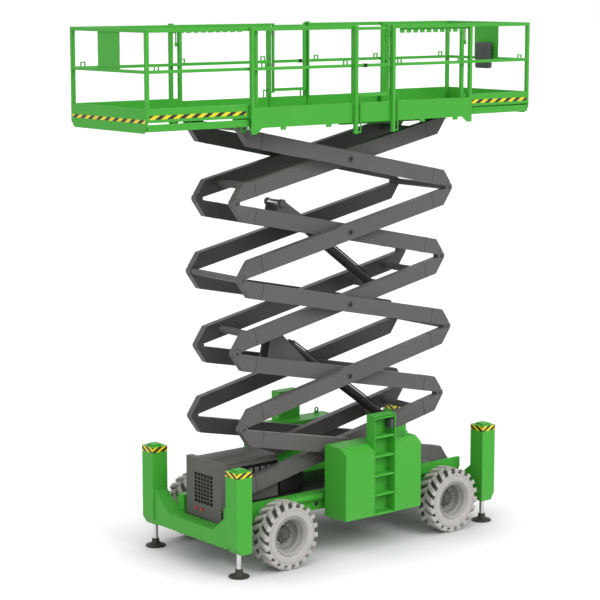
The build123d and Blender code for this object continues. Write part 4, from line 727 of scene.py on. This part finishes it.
# Black satin paint: nearly black, with one soft highlight along the tube.
barrel_paint = painted_steel("black_satin_paint_on_honed_tube", "#343331", "#2B2A29", roughness=0.4)
for name, (level, base, eye) in SEATS.items():
    dress(barrel_paint, BARREL_EDGE, f"{name}_cylinder_barrel")
    dress(rod_chrome, 0, f"{name}_cylinder_rod")
    first = on_frame(np.array((base[0], 0, base[1])), "inner", level)
    last = on_frame(np.array((eye[0], 0, eye[1])), "inner", level + 1)
    length = np.linalg.norm(last - first)
    way = (last - first) / length
    up = np.array((-way[2], 0, way[0])) * np.sign(way[0])
    mouth = length - ROD_SHOWING - GLAND
    route = np.array([(PIPE_START, PIPE_SUNK), (PIPE_START, PIPE_OUT), (PIPE_START + PIPE_BEND, PIPE_OUT),
                      (mouth - PIPE_BEND, PIPE_OUT), (mouth, PIPE_OUT), (mouth, PIPE_SUNK)])
    bent = cut_corners(route, 3)
    pipe = tube(first + bent[:, :1] * way + bent[:, 1:] * up, PIPE_R)
    piece(f"{name}_cylinder_pipe", [pipe], f"{name}_barrel", barrel_paint)

# Platform
# Welded square-tube guardrails, folded toe boards and decks, in the same green paint as the chassis.
# The decks are rolled chequer plate, and caps are welded on two posts of the left rail.
RAIL_EDGE = 0.003
DECK_PIN_Z = PIVOT_Z + LEVELS * LEVEL_RISE
DECK_TOP, EXT_DECK_TOP, RAIL_TOP = DECK_PIN_Z + 0.131, DECK_PIN_Z + 0.144, DECK_PIN_Z + 1.202
LOZENGE_LONG, LOZENGE_WIDE, LOZENGE_PITCH = 0.020, 0.007, 0.066
LOZENGE_HIGH, LOZENGE_SUNK, LOZENGE_TOP = 0.0015, -0.0005, 0.7
CHEQUERS = {"main": ("platform", (-1.74, 1.75), (-0.59, 0.60), DECK_TOP),
            "rear": ("rear_extension", (-3.22, -1.69), (-0.70, 0.71), EXT_DECK_TOP),
            "front": ("front_extension", (1.70, 2.86), (-0.70, 0.71), EXT_DECK_TOP)}
CAPS_X, CAP_HALF, CAP_IN, CAP_OUT = (-1.772, 0.413), 0.030, 0.803, 0.845
CAP_RISE, CAP_SUNK, CAP_EDGE = 0.018, 0.001, 0.004


def lozenges(along, across, z):
    """Points and faces of low six-sided studs on a square pitch, laid at 45 and 135 degrees in turn."""
    ring = np.array([(1, 0), (0.5, 1), (-0.5, 1), (-1, 0), (-0.5, -1), (0.5, -1)])
    ring = ring * (LOZENGE_LONG, LOZENGE_WIDE)
    stud = np.stack([np.column_stack([ring * share, np.full(len(ring), high)]) for share, high in
                     ((1, LOZENGE_SUNK), (LOZENGE_TOP, LOZENGE_HIGH), (0, LOZENGE_HIGH))])
    x, y = np.arange(*along, LOZENGE_PITCH), np.arange(*across, LOZENGE_PITCH)
    i, j = [grid.ravel() for grid in np.meshgrid(np.arange(len(x)), np.arange(len(y)), indexing="ij")]
    turn = np.radians(45 + 90 * ((i + j) % 2))[:, None, None]
    spun = np.stack([stud[..., 0] * np.cos(turn) - stud[..., 1] * np.sin(turn),
                     stud[..., 0] * np.sin(turn) + stud[..., 1] * np.cos(turn), stud[..., 2] + 0 * turn], -1)
    places = np.column_stack([x[i], y[j], np.full(len(i), z)])
    points = (spun + places[:, None, None, :]).reshape(-1, 3)
    starts = stud.shape[0] * stud.shape[1] * np.arange(len(i))
    faces = quads(stud, False, True)[None] + starts[:, None, None]
    return points, faces.reshape(-1, 4)


dress(green, RAIL_EDGE, "main_deck", "left_guardrail", "right_guardrail", "left_gate", "right_gate",
      "rear_extension_deck", "rear_extension_rails", "front_extension_deck", "front_extension_rails")
for deck, (body, along, across, top) in CHEQUERS.items():
    points, faces = lozenges(along, across, top)
    mesh_of(f"{deck}_deck_chequers", points + SHIFT, faces, body, green)
caps = [rounded_block((x - CAP_HALF, CAP_IN, RAIL_TOP - CAP_SUNK),
                      (x + CAP_HALF, CAP_OUT, RAIL_TOP + CAP_RISE), CAP_EDGE) + SHIFT for x in CAPS_X]
piece("left_rail_caps", caps, "platform", green)

# Lock pins of the extensions
# Round steel pins with a turned knob, painted green.
# They hang beside the inner posts under the extensions' top rails.
LOCK_PIN = np.array([(0, 0), (8, 0), (8, -170), (16, -176), (16, -214), (10, -222), (0, -222)]) / 1000
LOCK_X, LOCK_Y, LOCK_DROP, LOCK_SIDES = 1.738, 0.768, 0.043, 16
for end, sign in (("rear", -1), ("front", 1)):
    pins = [turned(LOCK_PIN, LOCK_SIDES, "z") + (sign * LOCK_X + CHASSIS_X, y, RAIL_TOP - LOCK_DROP)
            for y in (LOCK_Y, -LOCK_Y)]
    turned_piece(f"{end}_lock_pins", pins, f"{end}_extension", green)

# Gate latches and hinge sleeves
# Black spring latches clamped on the mid rails of the gates.
# Steel sleeves turn round the hinge stiles, grey on the left gate and green on the right one.
GATE_Y, GATE_R, MID_RAIL = 0.824, 0.018, DECK_PIN_Z + 0.731
SLEEVE_LINE = np.array([(17.8, 35), (20.5, 33), (20.5, -33), (17.8, -35)]) / 1000
SLEEVES_Z, SLEEVE_SIDES = (MID_RAIL - 0.075, DECK_PIN_Z + 1.09), 20
LATCH_HALF, LATCH_WALL, LATCH_DROP, LATCH_RISE, LATCH_EDGE = 0.026, 0.008, 0.042, 0.004, 0.005
GATES = {"left": (1, -0.155, 0.285, disc_paint, "grey_paint"),
         "right": (-1, 0.367, -0.020, green, "green_paint")}
latch_reach = GATE_R + LATCH_WALL
for side, (sign, hinge_x, latch_x, paint, slot) in GATES.items():
    y = sign * GATE_Y
    sleeves = [turned(SLEEVE_LINE, SLEEVE_SIDES, "z") + (hinge_x + CHASSIS_X, y, z) for z in SLEEVES_Z]
    piece(f"{side}_gate_sleeves", sleeves, f"{side}_gate_body", paint, round_rows=True)
    latch = rounded_block((latch_x - LATCH_HALF, y - latch_reach, MID_RAIL - LATCH_DROP),
                          (latch_x + LATCH_HALF, y + latch_reach, MID_RAIL + LATCH_RISE), LATCH_EDGE)
    piece(f"{side}_gate_latch", [latch + SHIFT], f"{side}_gate_body", iron)

# Skirts of the extension decks
# Thin folded steel plates that close the gap between the side beams.
# They are welded under the deck and painted green.
SKIRT_LOW, SKIRT_HIGH, SKIRT_IN, SKIRT_OUT = DECK_PIN_Z + 0.080, DECK_PIN_Z + 0.117, 0.783, 0.7898
SKIRTS, SKIRT_EDGE = {"rear": (-3.255, -1.665), "front": (1.665, 2.885)}, 0.001
for end, (first, last) in SKIRTS.items():
    skirts = [rounded_block((first, low, SKIRT_LOW), (last, high, SKIRT_HIGH), SKIRT_EDGE) + SHIFT
              for low, high in ((SKIRT_IN, SKIRT_OUT), (-SKIRT_OUT, -SKIRT_IN))]
    piece(f"{end}_extension_skirts", skirts, f"{end}_extension", green)

# Hazard strips on the extension decks
# The same printed vinyl in yellow and black as on the housings.
# It is stuck along the end plates and the side plates.
END_STRIP = (DECK_PIN_Z + 0.128, DECK_PIN_Z + 0.170)
SIDE_STRIP = (DECK_PIN_Z + 0.172, DECK_PIN_Z + 0.219)
EXT_HALF, STRIP_INNER, STRIP_PITCH = 0.790, 1.84, 0.17
END_INSET, SIDE_INSET = 0.03, 0.04
ENDS = {"rear": (-3.270, -1.0), "front": (2.900, 1.0)}
# Printed vinyl: the same flat colours, with stripes a little wider apart.
deck_tape = stripes("hazard_vinyl_on_decks", STRIP_PITCH)
side_face = EXT_HALF + TAPE_PROUD
for end, (plate, sign) in ENDS.items():
    x = plate + CHASSIS_X
    face = x + sign * TAPE_PROUD
    across = (EXT_HALF - END_INSET) * sign
    tape(f"{end}_end_strip", [(face, -across), (face, across)], *END_STRIP, f"{end}_extension", deck_tape,
         "green_paint")
    low, high = sorted((x - sign * SIDE_INSET, sign * STRIP_INNER + CHASSIS_X))
    for side, y, first, last in (("right", -side_face, low, high), ("left", side_face, high, low)):
        tape(f"{end}_{side}_strip", [(first, y), (last, y)], *SIDE_STRIP, f"{end}_extension", deck_tape,
             "green_paint")

# Control box
# Moulded dark grey case with round edges.
# It is screwed on a plate bracket on the inside of the front sheet.
BOX_BACK, BOX_FACE, BOX_RIGHT, BOX_LEFT = 2.762, 2.854, -0.148, 0.112
BOX_LOW, BOX_TOP, BOX_EDGE = DECK_PIN_Z + 0.578, DECK_PIN_Z + 0.925, 0.026
SHEET_FACE = 2.874
BRACKET_HALF, BRACKET_INSET, BRACKET_LAP, BRACKET_EDGE = 0.105, 0.030, 0.004, 0.003
case = rounded_block((BOX_BACK, BOX_RIGHT, BOX_LOW), (BOX_FACE, BOX_LEFT, BOX_TOP), BOX_EDGE, steps=6)
bracket = rounded_block((BOX_FACE - BRACKET_LAP, -BRACKET_HALF, MID_RAIL + BRACKET_INSET),
                        (SHEET_FACE, BRACKET_HALF, BOX_TOP - BRACKET_INSET), BRACKET_EDGE)
piece("control_case", [case + SHIFT, bracket + SHIFT], "front_extension", plastic,
      replaced=["control_box"])

# Floor and light
# A wide white studio floor under an even white surround, with two broad lamps.
# One stands above and to the right, and a weaker one lights the rear end.
FLOOR_HALF = 150
FLOOR_BOUNCE, FLOOR_TONE, FLOOR_GLOW = "#D8D8D8", 0.4, 0.72
SHADE_REACH, SHADE_POWER = 1.3, 1.7
WHITE, SKY_LIGHT, SKY_SEEN = (1, 1, 1, 1), 0.6, 1.0
LAMPS = {"key_lamp": (1.7, 35, (50, 0, 14)), "rear_lamp": (0.9, 70, (62, 0, -72))}


def seen_straight(tree):
    """1 for rays that look at a thing (camera, glossy, transmission), 0 for rays that only light others."""
    ray = add(tree, "ShaderNodeLightPath").outputs
    seen = add(tree, "ShaderNodeMath", {0: ray["Is Camera Ray"], 1: ray["Is Glossy Ray"]},
               operation="MAXIMUM")
    return add(tree, "ShaderNodeMath", {0: seen.outputs["Value"], 1: ray["Is Transmission Ray"]},
               operation="MAXIMUM").outputs["Value"]


# Matt white studio paint: pure white in the open from a glow the camera sees, and a painted soft grey shade
# where something stands close, where ambient occlusion turns the glow down.
white, tree, surface, place = blank("white_studio_floor", Roughness=0.9, Specular_IOR_Level=0.0,
                                    Emission_Color=WHITE)
seen = seen_straight(tree)
tone = add(tree, "ShaderNodeMix", {"Factor": seen, "A": srgb(FLOOR_BOUNCE),
                                   "B": (FLOOR_TONE, FLOOR_TONE, FLOOR_TONE, 1)}, data_type="RGBA")
tree.links.new(tone.outputs["Result"], surface.inputs["Base Color"])
# Painted shade: ambient occlusion dims the floor's glow near the machine.
open_sky = add(tree, "ShaderNodeAmbientOcclusion", {"Distance": SHADE_REACH}, samples=8)
glow = add(tree, "ShaderNodeMath", {0: open_sky.outputs["AO"], 1: SHADE_POWER}, operation="POWER")
glow = add(tree, "ShaderNodeMath", {0: glow.outputs["Value"], 1: FLOOR_GLOW}, operation="MULTIPLY")
glow = add(tree, "ShaderNodeMath", {0: glow.outputs["Value"], 1: seen}, operation="MULTIPLY")
tree.links.new(glow.outputs["Value"], surface.inputs["Emission Strength"])
floor_mesh = bpy.data.meshes.new("studio_floor")
corners = np.array([(-1, -1, 0), (1, -1, 0), (1, 1, 0), (-1, 1, 0)]) * FLOOR_HALF
floor_mesh.from_pydata(corners.tolist(), [], [(0, 1, 2, 3)])
floor_mesh.materials.append(white)
studio_floor = bpy.data.objects.new("studio_floor", floor_mesh)
bpy.context.scene.collection.objects.link(studio_floor)

world = bpy.data.worlds.new("studio")
world.use_nodes = True
bpy.context.scene.world = world
tree = world.node_tree
sky = tree.nodes["Background"]
sky.inputs["Color"].default_value = WHITE
strength = add(tree, "ShaderNodeMapRange", {"Value": seen_straight(tree), "To Min": SKY_LIGHT,
                                            "To Max": SKY_SEEN})
tree.links.new(strength.outputs["Result"], sky.inputs["Strength"])

for name, (strength, spread, turn) in LAMPS.items():
    lamp = bpy.data.lights.new(name, "SUN")
    lamp.energy = strength
    lamp.angle = np.radians(spread)
    holder = bpy.data.objects.new(name, lamp)
    holder.rotation_euler = np.radians(turn)
    bpy.context.scene.collection.objects.link(holder)
